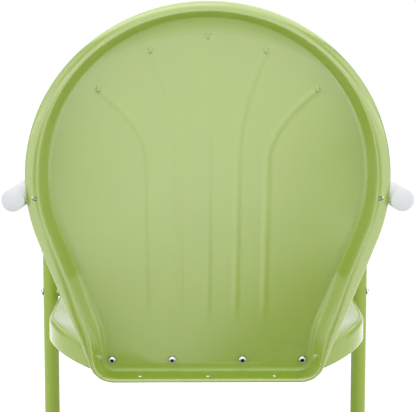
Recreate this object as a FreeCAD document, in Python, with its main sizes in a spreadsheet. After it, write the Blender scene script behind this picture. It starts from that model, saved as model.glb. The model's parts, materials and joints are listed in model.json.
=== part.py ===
import FreeCAD, Part
import math
import os
import Sketcher

# Metal patio chair with a stamped shell back, a stamped seat pan and a cantilever tube frame.
# The chair faces -Y and stands on z = 0. The sitter's left is +X. Stations along the depth are
# measured rearwards from the axis of the uprights. All lengths are in millimetres.

Vector = FreeCAD.Vector
Rotation = FreeCAD.Rotation
Placement = FreeCAD.Placement

# Driving dimensions
SIZES = {
    # Side frames
    "arm_gap": 2.0,
    "upright_forward": 195.0,
    # White arm tubes
    "arm_wall": 1.5,
    "arm_height": 588.0,
    "arm_tail": 11.5,
    "arm_bend_radius": 80.0,
    "arm_skirt": 50.0,
    # Domed plugs in the arms' rear ends
    "cap_rim": 1.6,
    "cap_dome": 4.5,
    "cap_plug_length": 5.5,
    "cap_plug_wall": 2.0,
    # Bushings between the arms and the thinner uprights
    "ferrule_wall": 1.4,
    "ferrule_collar": 3.0,
    "ferrule_length": 40.0,
    # Green leg tubes
    "leg_diameter": 25.4,
    "leg_wall": 2.0,
    "leg_overlap": 45.0,
    "floor_bend_radius": 95.0,
    "runner_end": 300.0,
    # Rear floor crossbar
    "crossbar_rear": 470.0,
    "crossbar_corner_radius": 70.0,
    "neck_length": 45.0,
    "neck_wall": 1.8,
    "neck_shoulder": 4.0,
    # Glides under the runners
    "glide_height": 5.0,
    "glide_length": 32.0,
    "glide_wall": 2.6,
    "glide_setback": 30.0,
    # Stamped sheet
    "sheet": 1.6,
    # Back shell, on its own slope
    "recline": 18.0,
    "back_foot_station": 331.0,
    "back_foot_height": 325.5,
    "back_length": 553.4,
    "rim_radius": 249.6,
    "rim_foot_corner": 31.0,
    "flange_spread": 11.0,
    "flange_foot_spread": 1.0,
    "flange_depth": 25.0,
    "back_taper": 18.6,
    "bead_radius": 3.2,
    "back_edge_fillet": 6.0,
    "back_flat_height": 150.0,
    "back_dish_rise": 200.0,
    "back_side_wrap": 11.3,
    "back_curl_start": 250.0,
    "back_top_curl": 28.6,
    # Pressed flutes of the back
    "flute_half_width": 7.5,
    "flute_height": 1.4,
    "flute_low_end": 70.0,
    "flute_fade": 60.0,
    "flute_bend_drop": 225.0,
    "pip_radius": 5.2,
    "pip_height": 2.6,
    "inner_flute_spacing": 40.0,
    "inner_pip_spacing": 77.0,
    "inner_pip_drop": 69.4,
    "outer_flute_spacing": 81.0,
    "outer_pip_spacing": 147.5,
    "outer_pip_drop": 122.4,
    "centre_flute_spacing": 0.0,
    "centre_pip_spacing": 0.0,
    "centre_pip_drop": 50.4,
    # Drain holes in the back's foot
    "drain_diameter": 5.0,
    "drain_spacing": 98.0,
    "drain_depth": 17.0,
    # Seat pan
    "seat_gap": 12.8,
    "seat_front": 118.0,
    "seat_front_radius": 1400.0,
    "seat_front_corner": 60.0,
    "seat_overrun": 9.0,
    "seat_rear_corner": 105.0,
    "seat_crest_front": 410.0,
    "seat_crest_fall": 19.0,
    "seat_dish_front": 15.0,
    "seat_foot_rise": 0.5,
    "seat_waterfall": 14.0,
    "seat_waterfall_length": 80.0,
    "seat_apron": 38.0,
    "hem_dish_share": 0.75,
    "seat_edge_fillet": 10.0,
    "upstand_margin": 6.5,
    "upstand_low": -1.5,
    "upstand_high": 52.0,
    "upstand_corner": 14.0,
    # Fasteners
    "bolt_diameter": 6.0,
    "bolt_head_diameter": 12.0,
    "bolt_head_height": 4.2,
    "bolt_head_rim": 1.3,
    "bolt_tip": 2.0,
    "socket_width": 4.0,
    "socket_depth": 2.4,
    "nut_width": 10.0,
    "nut_height": 5.0,
    "screw_diameter": 4.8,
    "screw_head_diameter": 9.0,
    "screw_head_height": 3.0,
    "screw_head_rim": 0.8,
    "screw_length": 10.0,
    "arm_screw_rise": 18.0,
    "neck_screw_setback": 20.0,
    # Joints
    "arm_bolt_depth": 12.3,
    "arm_insert_diameter": 9.0,
    "arm_insert_length": 12.0,
    "arm_spacer_diameter": 17.5,
    "arm_washer_diameter": 14.0,
    "arm_washer_lift": 1.5,
    "seat_bolt_drop": 24.0,
    "seat_spacer_diameter": 16.0,
    "back_bolt_rise": 19.0,
    "back_bolt_inner": 51.5,
    "back_bolt_edge": 13.0,
    # Clearances
    "hole_clearance": 0.3,
    "fit_clearance": 0.15,
}

# Dimensions that follow from them
FORMULAS = {
    "arm_diameter": "=leg_diameter + 2 * (ferrule_wall + arm_wall + 2 * fit_clearance)",
    "side_spacing": "=2 * (rim_radius + arm_gap) + arm_diameter",
    "arm_lower_end": "=arm_height - arm_bend_radius - arm_skirt",
    "leg_top": "=arm_lower_end + leg_overlap",
    "arm_screw_height": "=arm_lower_end + arm_screw_rise",
    "front_glide_station": "=floor_bend_radius + glide_setback",
    "rear_glide_station": "=crossbar_rear - crossbar_corner_radius - glide_setback",
    "flute_bend": "=back_length - flute_bend_drop",
    "inner_pip_rise": "=back_length - inner_pip_drop",
    "outer_pip_rise": "=back_length - outer_pip_drop",
    "centre_pip_rise": "=back_length - centre_pip_drop",
    "seat_half_width": "=(side_spacing - leg_diameter) / 2 - seat_gap",
    "seat_rear": "=back_foot_station + seat_overrun",
    "seat_crest_rear": "=seat_crest_front - seat_crest_fall",
    "seat_dish_rear": "=seat_crest_rear - back_foot_height - seat_foot_rise",
    "seat_bolt_height": "=seat_crest_front - seat_bolt_drop",
}

doc = FreeCAD.newDocument("patio_chair")
sheet = doc.addObject("Spreadsheet::Sheet", "Sizes")
sheet_rows = []
subparts = []


def add_row(alias, content):
    """Adds a named number or formula to the sheet."""
    sheet_rows.append(alias)
    cell = f"B{len(sheet_rows)}"
    sheet.set(f"A{len(sheet_rows)}", alias)
    sheet.set(cell, str(content))
    sheet.setAlias(cell, alias)


for alias, content in {**SIZES, **FORMULAS}.items():
    add_row(alias, content)
doc.recompute()


def size(alias):
    """A dimension, read back from the sheet."""
    return float(sheet.get(alias))


# Values worked out from the driving dimensions
SIDE = size("side_spacing") / 2
UPRIGHT_Y = -size("upright_forward")
HOLE = size("bolt_diameter") + 2 * size("hole_clearance")
RIM_RADIUS = size("rim_radius") - size("bead_radius")
ROOT_RADIUS = RIM_RADIUS - size("flange_spread")
BACK_CENTRE = size("back_length") - size("rim_radius")
SLOPE = math.radians(size("recline"))
TAPER = math.radians(size("back_taper"))
TOOL_REACH = 400.0
SIDES = (("left", 1), ("right", -1))


# Shared construction
def new_body(label):
    body = doc.addObject("PartDesign::Body", label)
    body.Label = label
    subparts.append(body)
    return body


def add_feature(label, shape, placement=None):
    """A sub-part whose form no sketch gives: its shape is made from the sheet's values."""
    feature = doc.addObject("Part::Feature", label)
    feature.Label = label
    feature.Shape = shape
    if placement is not None:
        feature.Placement = placement
    subparts.append(feature)
    return feature


def origin_plane(body, role):
    return next(item for item in body.Origin.OriginFeatures if item.Role == role)


def new_sketch(body, name, role, offset=None):
    """A sketch on one of the body's own origin planes, moved along its normal by an expression."""
    sketch = body.newObject("Sketcher::SketchObject", name)
    sketch.AttachmentSupport = (origin_plane(body, role), [""])
    sketch.MapMode = "FlatFace"
    if offset is not None:
        sketch.setExpression("AttachmentOffset.Base.z", offset)
    return sketch


def evaluate(sketch, expression):
    return float(sketch.evalExpression(expression))


def bind(sketch, kind, where, expression):
    """A dimension of the sketch that follows an expression."""
    index = sketch.addConstraint(Sketcher.Constraint(kind, *where, evaluate(sketch, expression)))
    sketch.setExpression(f"Constraints[{index}]", expression)


def draw_circle(sketch, across, up, diameter):
    centre = Vector(evaluate(sketch, across), evaluate(sketch, up), 0)
    circle = Part.Circle(centre, Vector(0, 0, 1), evaluate(sketch, diameter) / 2)
    edge = sketch.addGeometry(circle, False)
    bind(sketch, "DistanceX", (edge, 3), across)
    bind(sketch, "DistanceY", (edge, 3), up)
    bind(sketch, "Diameter", (edge,), diameter)


def draw_path(sketch, corners, closed):
    """Straight edges and arcs through corners of the form (across, up) or (across, up, arc radius).

    A radius belongs to the edge that leaves its corner. The arc bulges to the right of its
    direction of travel, or to the left where the radius is negative.
    """
    points = [Vector(evaluate(sketch, c[0]), evaluate(sketch, c[1]), 0) for c in corners]
    count = len(corners) if closed else len(corners) - 1
    for index in range(count):
        after = (index + 1) % len(corners)
        start = points[index]
        end = points[after]
        first = 1
        if len(corners[index]) == 2:
            edge = sketch.addGeometry(Part.LineSegment(start, end), False)
        else:
            radius = evaluate(sketch, corners[index][2])
            edge = sketch.addGeometry(arc_between(start, end, radius), False)
            gaps = [(sketch.getPoint(edge, end_point) - start).Length for end_point in (1, 2)]
            first = 1 if gaps[0] < gaps[1] else 2
            bind(sketch, "Radius", (edge,), f"abs({corners[index][2]})")
        for position, corner in ((first, corners[index]), (3 - first, corners[after])):
            bind(sketch, "DistanceX", (edge, position), corner[0])
            bind(sketch, "DistanceY", (edge, position), corner[1])


def arc_between(start, end, radius):
    chord = end - start
    sagitta = abs(radius) - math.sqrt(max(radius**2 - (chord.Length / 2) ** 2, 0.0))
    right = Vector(chord.y, -chord.x, 0).normalize()
    middle = (start + end) * 0.5 + right * math.copysign(sagitta, radius)
    return Part.Arc(start, middle, end)


def place(body, x, y, z, rotation=None):
    """Seats a body in the chair by expressions for its origin."""
    body.Placement = Placement(Vector(), rotation or Rotation())
    for axis, expression in (("x", x), ("y", y), ("z", z)):
        body.setExpression(f"Placement.Base.{axis}", expression)


def turned(label, corners):
    """A piece turned about its own Z axis, from a profile of (radius, height) corners."""
    body = new_body(label)
    profile = new_sketch(body, "Profile", "XZ_Plane")
    draw_path(profile, corners, closed=True)
    turn = body.newObject("PartDesign::Revolution", "Turned")
    turn.Profile = profile
    turn.ReferenceAxis = (profile, ["V_Axis"])
    turn.Angle = 360
    return body


def bent_tube(label, spine_plane, spine_corners, ring_plane, ring_offset, centre, diameter, wall):
    """A round tube bent along straight runs and arcs, from a ring at the start of its path."""
    body = new_body(label)
    ring = new_sketch(body, "Section", ring_plane, ring_offset)
    draw_circle(ring, centre[0], centre[1], diameter)
    draw_circle(ring, centre[0], centre[1], f"{diameter} - 2 * {wall}")
    spine = new_sketch(body, "Bend_line", spine_plane)
    draw_path(spine, spine_corners, closed=False)
    pipe = body.newObject("PartDesign::AdditivePipe", "Tube")
    pipe.Profile = ring
    pipe.Spine = spine
    return body


def drill(body, name, role, across, up, diameter, one_way=None):
    """A round hole through the body, square to an origin plane: right through, or one way only."""
    sketch = new_sketch(body, name, role)
    draw_circle(sketch, across, up, diameter)
    hole = body.newObject("PartDesign::Pocket", name + "_cut")
    hole.Profile = sketch
    hole.Type = "ThroughAll"
    hole.Midplane = one_way is None
    if one_way is not None:
        hole.Reversed = one_way
    return hole


# Arm tubes: straight back along the top, bent down at the front over the uprights
def arm_tube(label, sign):
    body = bent_tube(
        label,
        "YZ_Plane",
        [
            ("Sizes.arm_reach", "Sizes.arm_height"),
            ("Sizes.arm_bend_radius", "Sizes.arm_height", "Sizes.arm_bend_radius"),
            ("0", "Sizes.arm_height - Sizes.arm_bend_radius"),
            ("0", "Sizes.arm_lower_end"),
        ],
        "XZ_Plane",
        "-Sizes.arm_reach",
        ("0", "Sizes.arm_height"),
        "Sizes.arm_diameter",
        "Sizes.arm_wall",
    )
    station = "Sizes.arm_bolt_station"
    insert_hole = "Sizes.arm_insert_diameter + 2 * Sizes.fit_clearance"
    drill(body, "Insert_hole", "YZ_Plane", station, "Sizes.arm_height", insert_hole, sign < 0)
    screw_hole = "Sizes.screw_diameter + 2 * Sizes.hole_clearance"
    drill(body, "Screw_hole", "XZ_Plane", "0", "Sizes.arm_screw_height", screw_hole, True)
    place(body, f"{sign} * Sizes.side_spacing / 2", "-Sizes.upright_forward", "0")


# Domed plugs that close the rear ends of the arms
def arm_end_cap(label, sign):
    plug = "(Sizes.arm_diameter / 2 - Sizes.arm_wall - Sizes.fit_clearance)"
    rim = "Sizes.arm_diameter / 2"
    dome = "((Sizes.arm_diameter ^ 2 / 4 + Sizes.cap_dome ^ 2) / (2 * Sizes.cap_dome))"
    body = turned(
        label,
        [
            ("0", "0"),
            (f"{plug} - Sizes.cap_plug_wall", "0"),
            (f"{plug} - Sizes.cap_plug_wall", "-Sizes.cap_plug_length"),
            (plug, "-Sizes.cap_plug_length"),
            (plug, "0"),
            (rim, "0"),
            (rim, "Sizes.cap_rim", dome),
            ("0", "Sizes.cap_rim + Sizes.cap_dome"),
        ],
    )
    rearwards = Rotation(Vector(1, 0, 0), -90)
    y = "Sizes.arm_reach - Sizes.upright_forward"
    place(body, f"{sign} * Sizes.side_spacing / 2", y, "Sizes.arm_height", rearwards)


# Bushings that fill the step between an arm and its thinner upright
def arm_ferrule(label, sign):
    bore = "Sizes.leg_diameter / 2 + Sizes.fit_clearance"
    outside = "Sizes.arm_diameter / 2 - Sizes.arm_wall - Sizes.fit_clearance"
    body = turned(
        label,
        [
            (bore, "-Sizes.ferrule_collar"),
            ("Sizes.arm_diameter / 2", "-Sizes.ferrule_collar"),
            ("Sizes.arm_diameter / 2", "0"),
            (outside, "0"),
            (outside, "Sizes.ferrule_length"),
            (bore, "Sizes.ferrule_length"),
        ],
    )
    screw_hole = "Sizes.screw_diameter + 2 * Sizes.hole_clearance"
    up = "Sizes.arm_screw_height - Sizes.arm_lower_end"
    drill(body, "Screw_hole", "XZ_Plane", "0", up, screw_hole, True)
    place(body, f"{sign} * Sizes.side_spacing / 2", "-Sizes.upright_forward", "Sizes.arm_lower_end")


# Leg tubes: uprights that bend into runners along the floor
RUNNER_HEIGHT = "(Sizes.glide_height + Sizes.leg_diameter / 2)"


def leg_tube(label, sign):
    body = bent_tube(
        label,
        "YZ_Plane",
        [
            ("0", "Sizes.leg_top"),
            ("0", f"{RUNNER_HEIGHT} + Sizes.floor_bend_radius", "Sizes.floor_bend_radius"),
            ("Sizes.floor_bend_radius", RUNNER_HEIGHT),
            ("Sizes.runner_end", RUNNER_HEIGHT),
        ],
        "XY_Plane",
        "Sizes.leg_top",
        ("0", "0"),
        "Sizes.leg_diameter",
        "Sizes.leg_wall",
    )
    bolt_hole = "Sizes.bolt_diameter + 2 * Sizes.hole_clearance"
    drill(body, "Seat_bolt_hole", "YZ_Plane", "0", "Sizes.seat_bolt_height", bolt_hole)
    screw_hole = "Sizes.screw_diameter + 2 * Sizes.hole_clearance"
    drill(body, "Arm_screw_hole", "XZ_Plane", "0", "Sizes.arm_screw_height", screw_hole, True)
    neck_screw = "Sizes.runner_end - Sizes.neck_screw_setback"
    drill(body, "Neck_screw_hole", "YZ_Plane", neck_screw, RUNNER_HEIGHT, screw_hole, sign < 0)
    place(body, f"{sign} * Sizes.side_spacing / 2", "-Sizes.upright_forward", "0")


# Rear crossbar: a bent tube across the floor whose necked ends plug into the runners
def rear_floor_crossbar():
    half = "Sizes.side_spacing / 2"
    corner = "Sizes.crossbar_corner_radius"
    body = bent_tube(
        "rear_floor_crossbar",
        "XY_Plane",
        [
            (f"-{half}", "Sizes.runner_end"),
            (f"-{half}", f"Sizes.crossbar_rear - {corner}", f"-{corner}"),
            (f"{corner} - {half}", "Sizes.crossbar_rear"),
            (f"{half} - {corner}", "Sizes.crossbar_rear", f"-{corner}"),
            (half, f"Sizes.crossbar_rear - {corner}"),
            (half, "Sizes.runner_end"),
        ],
        "XZ_Plane",
        "-Sizes.runner_end",
        (f"-{half}", "0"),
        "Sizes.leg_diameter",
        "Sizes.leg_wall",
    )
    neck_radius = "(Sizes.leg_diameter / 2 - Sizes.leg_wall - Sizes.fit_clearance)"
    for name, sign in SIDES:
        neck = new_sketch(body, f"Neck_{name}", "XY_Plane")
        inside = f"{sign} * ({half} - {neck_radius} + Sizes.neck_wall)"
        outside = f"{sign} * ({half} - {neck_radius})"
        skin = f"{sign} * ({half} - Sizes.leg_diameter / 2)"
        draw_path(
            neck,
            [
                (inside, "Sizes.runner_end - Sizes.neck_length"),
                (outside, "Sizes.runner_end - Sizes.neck_length"),
                (outside, "Sizes.runner_end"),
                (skin, "Sizes.runner_end"),
                (skin, "Sizes.runner_end + Sizes.neck_shoulder"),
                (inside, "Sizes.runner_end + Sizes.neck_shoulder"),
            ],
            closed=True,
        )
        axis = neck.addGeometry(Part.LineSegment(Vector(sign * SIDE, 0, 0), Vector(sign * SIDE, 1, 0)), True)
        for position, up in ((1, "0"), (2, "Sizes.runner_end")):
            bind(neck, "DistanceX", (axis, position), f"{sign} * {half}")
            bind(neck, "DistanceY", (axis, position), up)
        turn = body.newObject("PartDesign::Revolution", f"Necked_{name}")
        turn.Profile = neck
        turn.ReferenceAxis = (neck, ["Axis0"])
        turn.Angle = 360
    neck_screw = "Sizes.runner_end - Sizes.neck_screw_setback"
    screw_hole = "Sizes.screw_diameter + 2 * Sizes.hole_clearance"
    drill(body, "Neck_screw_holes", "YZ_Plane", neck_screw, "0", screw_hole)
    place(body, "0", "-Sizes.upright_forward", RUNNER_HEIGHT)


# Glides: flat-footed saddles clipped round the underside of the tubes
def glide(label, sign, station):
    body = new_body(label)
    section = new_sketch(body, "Section", "XZ_Plane")
    bore = "(Sizes.leg_diameter / 2 + Sizes.fit_clearance)"
    skin = f"({bore} + Sizes.glide_wall)"
    draw_path(
        section,
        [
            (f"-{skin}", RUNNER_HEIGHT),
            (f"-{skin}", "Sizes.glide_wall"),
            (f"Sizes.glide_wall - {skin}", "0"),
            (f"{skin} - Sizes.glide_wall", "0"),
            (skin, "Sizes.glide_wall"),
            (skin, RUNNER_HEIGHT),
            (bore, RUNNER_HEIGHT, f"-{bore}"),
            ("0", f"{RUNNER_HEIGHT} - {bore}", f"-{bore}"),
            (f"-{bore}", RUNNER_HEIGHT),
        ],
        closed=True,
    )
    pad = body.newObject("PartDesign::Pad", "Saddle")
    pad.Profile = section
    pad.Midplane = True
    pad.setExpression("Length", "Sizes.glide_length")
    place(body, f"{sign} * Sizes.side_spacing / 2", f"{station} - Sizes.upright_forward", "0")


# Back shell, in its own frame: u across, v up the slope from the foot, w along the press to the rear
def ramp(share):
    """A smooth step from 0 to 1."""
    share = min(max(share, 0.0), 1.0)
    return share**2 * (3 - 2 * share)


def back_dish(u, v):
    """Where the panel's front face lies along the press: flat at the foot, wrapped forward above."""
    wrap = size("back_side_wrap") * ramp((v - size("back_flat_height")) / size("back_dish_rise"))
    curl_run = size("back_length") - size("back_curl_start")
    curl = size("back_top_curl") * max((v - size("back_curl_start")) / curl_run, 0.0) ** 2
    return -wrap * (u / ROOT_RADIUS) ** 2 - curl


# Plan curves, as functions of a share from 0 to 1
def arc_run(centre_x, centre_y, radius, first, last):
    def point(share):
        angle = first + (last - first) * share
        return centre_x + radius * math.cos(angle), centre_y + radius * math.sin(angle)

    return point


def straight_run(start, end):
    def point(share):
        return tuple(a + (b - a) * share for a, b in zip(start, end))

    return point


def ring(runs, height):
    """A closed ring over a plan outline: each run is one smooth edge, at a height over each point."""
    edges = []
    for plan, count in runs:

        def point(share):
            across, along = plan(share)
            return Vector(across, along, height(across, along))

        shares = [index / (count - 1) for index in range(count)]
        curve = Part.BSplineCurve()
        curve.interpolate(
            Points=[point(share) for share in shares],
            Parameters=shares,
            InitialTangent=(point(NUDGE) - point(0)) * (1 / NUDGE),
            FinalTangent=(point(1) - point(1 - NUDGE)) * (1 / NUDGE),
            Scale=False,
        )
        edges.append(curve.toShape())
    return Part.Wire(edges)


NUDGE = 1e-4
ROUND_ANGLES = (0, 38, 76)
OVERRUN = 0.6


def rounded_edge(radius, far):
    """(inset, depth) steps that come down a wall from far off, round its edge and past its face."""
    steps = [(0.0, far)]
    for angle in ROUND_ANGLES:
        turn = math.radians(angle)
        steps.append((radius * (1 - math.cos(turn)), radius * (1 - math.sin(turn))))
    last = math.radians(ROUND_ANGLES[-1])
    inset, depth = steps[-1]
    steps.append((inset + OVERRUN * radius * math.sin(last), depth - OVERRUN * radius * math.cos(last)))
    return steps


def lofted(sections):
    """A closed form with straight walls from each section to the next."""
    form = Part.makeLoft(sections, True, True)
    return form if form.Volume > 0 else form.reversed()


def strips(columns, thickness):
    """A sheet of strips between smooth lines, each line through a column of points."""
    sections = []
    for points in columns:
        run = points[-1].y - points[0].y
        line = Part.BSplineCurve()
        line.interpolate(Points=points, Parameters=[(point.y - points[0].y) / run for point in points])
        face_edge = line.toShape()
        raised = Vector(0, 0, thickness)
        far_edge = face_edge.translated(raised)
        sides = [Part.makeLine(end, end + raised) for end in (points[0], points[-1])]
        sections.append(Part.Wire([face_edge, sides[1], far_edge, sides[0]]))
    return lofted(sections)


def back_runs(inset, depth):
    """The outline of the back at a depth along the press, moved inwards by an inset."""
    share = depth / size("flange_depth")
    radius = ROOT_RADIUS + size("flange_spread") * share - inset
    foot = inset - size("flange_foot_spread") * share
    corner = size("rim_foot_corner") - size("flange_spread") * (1 - share) - inset
    corner_u = (radius - corner + (foot + corner - BACK_CENTRE) * math.sin(TAPER)) / math.cos(TAPER)
    right = arc_run(corner_u, foot + corner, corner, -math.pi / 2, -TAPER)
    crown = arc_run(0, BACK_CENTRE, radius, -TAPER, math.pi + TAPER)
    left = arc_run(-corner_u, foot + corner, corner, math.pi + TAPER, 1.5 * math.pi)
    return [
        (straight_run(left(1), right(0)), 2),
        (right, 3),
        (straight_run(right(1), crown(0)), 4),
        (crown, 11),
        (straight_run(crown(1), left(0)), 4),
        (left, 3),
    ]


def back_ring(inset, depth):
    return ring(back_runs(inset, depth), lambda u, v: back_dish(u, v) + depth)


# Flutes: lines of the panel's net follow each flute and lift it off the panel
FLUTE_SECTION = ((-1.0, 0.0), (-0.4, 1.0), (0.4, 1.0), (1.0, 0.0))
SIDE_COLUMNS = 4
FLUTE_ROWS = ("outer", "inner", "centre")


def flute_line(row, v):
    """Where a flute runs at a rise: straight up, then bowed outwards as far as its pip."""
    share = (v - size("flute_bend")) / (size(f"{row}_pip_rise") - size("flute_bend"))
    drift = size(f"{row}_pip_spacing") - size(f"{row}_flute_spacing")
    return size(f"{row}_flute_spacing") + drift * min(max(share, 0.0), 1.0) ** 2


def flute_lift(row, v):
    """Height of a flute at a rise: it fades in above the foot and stops at its pip."""
    fade_in = ramp((v - size("flute_low_end")) / size("flute_fade"))
    fade_out = ramp((size(f"{row}_pip_rise") + size("pip_radius") - v) / (2 * size("pip_radius")))
    return size("flute_height") * fade_in * fade_out


def net_row(v):
    """Places across the panel and lifts off it, along one row of the net."""
    reach = size("rim_radius") + size("flange_depth")
    half = size("flute_half_width")
    row_points = []
    for row in FLUTE_ROWS:
        line = flute_line(row, v)
        lift = flute_lift(row, v)
        if row_points:
            row_points.append(((row_points[-1][0] + line + half) / 2, 0.0))
        row_points.extend((line - half * across, lift * share) for across, share in FLUTE_SECTION)
    margin = row_points[0][0]
    sides = [(reach + (margin - reach) * k / SIDE_COLUMNS, 0.0) for k in range(SIDE_COLUMNS)]
    one_side = sides + row_points[: -len(FLUTE_SECTION) // 2]
    return one_side + [(-u, lift) for u, lift in reversed(one_side)]


def net_rises():
    """Rises of the net's rows: where the flutes fade, bend and end, and past both ends."""
    faded = size("flute_low_end") + size("flute_fade")
    bend = size("flute_bend")
    return sorted(
        {
            -2 * size("flange_depth"),
            size("flute_low_end"),
            faded,
            (faded + bend) / 2,
            bend,
            (bend + size("outer_pip_rise")) / 2,
            size("outer_pip_rise"),
            size("inner_pip_rise"),
            size("centre_pip_rise") + 2 * size("pip_radius"),
            size("back_length") + 2 * size("flange_depth"),
        }
    )


def back_panel(lift, thickness):
    """The fluted panel, lifted along the press and given a thickness along it."""
    rises = net_rises()
    rows = [[Vector(u, v, back_dish(u, v) + up + lift) for u, up in net_row(v)] for v in rises]
    return strips([list(column) for column in zip(*rows)], thickness)


def back_tray(lift, inset, thickness, radius):
    """The space inside the flange, over the panel: a tray form with a rounded lower edge."""
    steps = rounded_edge(radius, thickness + size("flange_depth"))
    steps = [(inset + step_in, lift + step_up) for step_in, step_up in reversed(steps)]
    low = ring(back_runs(*steps[0]), lambda u, v: -TOOL_REACH)
    high = ring(back_runs(*steps[-1]), lambda u, v: TOOL_REACH)
    form = lofted([low, *[back_ring(*step) for step in steps], high])
    return back_panel(lift, thickness).common(form).Solids[0]


def pips(growth):
    """Blunt cones that raise the pips at the upper ends of the flutes."""
    cones = []
    foot = size("pip_radius") + growth
    for row in FLUTE_ROWS:
        v = size(f"{row}_pip_rise")
        spacing = size(f"{row}_pip_spacing")
        for u in sorted({spacing, -spacing}):
            base = Vector(u, v, back_dish(u, v) - size("pip_height"))
            height = 2 * size("pip_height") + growth
            cones.append(Part.makeCone(foot + size("pip_height"), foot / 2, height, base))
    return cones


def back_bead():
    """The rolled edge that runs round the flange's rim, centred on the end of its wall."""
    radius = size("bead_radius")
    rings = []
    for index in range(BEAD_SIDES):
        turn = 2 * math.pi * index / BEAD_SIDES
        inset = FLANGE_WALL / 2 - radius * math.cos(turn)
        rings.append(back_ring(inset, size("flange_depth") + radius * math.sin(turn)))
    skin = Part.makeLoft(rings, False, True, True)
    bead = Part.Solid(Part.Shell(skin.Faces))
    return bead if bead.Volume > 0 else bead.reversed()


BEAD_SIDES = 6
FLANGE_WALL = size("sheet") / math.cos(math.atan(size("flange_spread") / size("flange_depth")))
BACK_ROTATION = Rotation(
    Vector(-1, 0, 0),
    Vector(0, math.sin(SLOPE), math.cos(SLOPE)),
    Vector(0, math.cos(SLOPE), -math.sin(SLOPE)),
)
BACK_FOOT = Vector(0, size("back_foot_station"), size("back_foot_height"))
TO_STATIONS = Placement(BACK_FOOT, BACK_ROTATION)
TO_CHAIR = Placement(Vector(0, UPRIGHT_Y, 0), Rotation())


def round_bar(diameter, start, direction, length):
    return Part.makeCylinder(diameter / 2, length, start, direction)


def back_point(station, height):
    """Slope rise v and press depth w of a point given by its station and height."""
    local = TO_STATIONS.inverse().multVec(Vector(0, station, height))
    return local.y, local.z


def back_solids():
    """The back's outer form, the hollow inside it and its rolled edge."""
    fillet = size("back_edge_fillet")
    depth = size("flange_depth")
    outer = back_tray(0, 0, depth, fillet)
    hollow = back_tray(size("sheet"), FLANGE_WALL, HOLLOW_REACH * depth, fillet - size("sheet"))
    return outer.cut(pips(0)), hollow.cut(pips(size("sheet"))), back_bead()


HOLLOW_REACH = 3


def back_shell(outer, hollow, bead):
    shell = outer.cut(hollow).fuse(bead)
    across = Vector(1, 0, 0)
    up = Vector(0, 1, 0)
    rearwards = Vector(0, 0, 1)
    depth = size("flange_depth")
    tools = []
    for u in back_bolt_places():
        start = Vector(u, size("back_bolt_rise"), -depth / 2)
        tools.append(round_bar(HOLE, start, rearwards, depth))
    for u in (-size("drain_spacing"), 0, size("drain_spacing")):
        start = Vector(u, -depth / 2, size("drain_depth"))
        tools.append(round_bar(size("drain_diameter"), start, up, depth))
    for _, sign in SIDES:
        start = Vector(sign * arm_head_seat(), ARM_RISE, ARM_PRESS)
        tools.append(round_bar(HOLE, start, across * sign, depth))
    shell = shell.cut(Part.makeCompound(tools))
    add_feature("back_shell", shell.Solids[0], TO_CHAIR.multiply(TO_STATIONS))


def back_bolt_places():
    inner = size("back_bolt_inner")
    outer = size("back_bolt_outer")
    return (outer, inner, -inner, -outer)


# Seat pan, in stations: x across, y rearwards from the uprights, z up
def seat_height(x, y, share, power):
    """Height of a face that takes a share of the seat's dish, deeper to the rear and rolled down in front."""
    along = (y + size("seat_front")) / (size("back_foot_station") + size("seat_front"))
    crest = size("seat_crest_front") + (size("seat_crest_rear") - size("seat_crest_front")) * along
    dish = size("seat_dish_front") + (size("seat_dish_rear") - size("seat_dish_front")) * along
    over = max(1 - (y + size("seat_front")) / size("seat_waterfall_length"), 0.0)
    across = (x / size("seat_half_width")) ** power
    return crest - share * dish * (1 - across) - size("seat_waterfall") * over**2


def seat_top(x, y):
    return seat_height(x, y, 1, FLAT_BOTTOM)


def seat_hem(x, y):
    return seat_height(x, y, size("hem_dish_share"), ROUND_BOTTOM) - size("seat_apron")


FLAT_BOTTOM = 4
ROUND_BOTTOM = 2
SEAT_STRIPS = 12
SEAT_STATIONS = 6


def seat_slab(height, drop, thickness):
    """A dished face of the seat, lowered by a drop and given a thickness downwards."""
    margin = size("seat_apron") / 2
    reach = size("seat_half_width") + margin
    front = -size("seat_front") - margin
    rear = size("seat_rear") + margin
    stations = [front + (rear - front) * j / (SEAT_STATIONS - 1) for j in range(SEAT_STATIONS)]
    columns = []
    for index in range(SEAT_STRIPS + 1):
        share = 2 * index / SEAT_STRIPS - 1
        x = math.copysign(reach * math.sqrt(abs(share)), share)
        columns.append([Vector(x, y, height(x, y) - drop) for y in stations])
    return strips(columns, -thickness)


def seat_runs(inset):
    """The seat's outline: bowed front, round corners, straight sides, moved inwards by an inset."""
    half = size("seat_half_width") - inset
    bow = size("seat_front_radius") - inset
    front = size("seat_front_corner") - inset
    rear = size("seat_rear_corner") - inset
    bow_y = size("seat_front_radius") - size("seat_front")
    lean = math.acos((half - front) / (bow - front))
    front_x = half - front
    front_y = bow_y - (bow - front) * math.sin(lean)
    rear_x = half - rear
    rear_y = size("seat_rear") - inset - rear
    bowed = arc_run(0, bow_y, bow, lean - math.pi, -lean)
    front_right = arc_run(front_x, front_y, front, -lean, 0)
    front_left = arc_run(-front_x, front_y, front, -math.pi, lean - math.pi)
    rear_right = arc_run(rear_x, rear_y, rear, 0, math.pi / 2)
    rear_left = arc_run(-rear_x, rear_y, rear, math.pi / 2, math.pi)
    return [
        (bowed, 5),
        (front_right, 4),
        (straight_run(front_right(1), rear_right(0)), 6),
        (rear_right, 5),
        (straight_run(rear_right(1), rear_left(0)), 4),
        (rear_left, 5),
        (straight_run(rear_left(1), front_left(0)), 6),
        (front_left, 4),
    ]


def seat_ring(inset, drop):
    return ring(seat_runs(inset), lambda x, y: seat_top(x, y) - drop)


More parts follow.
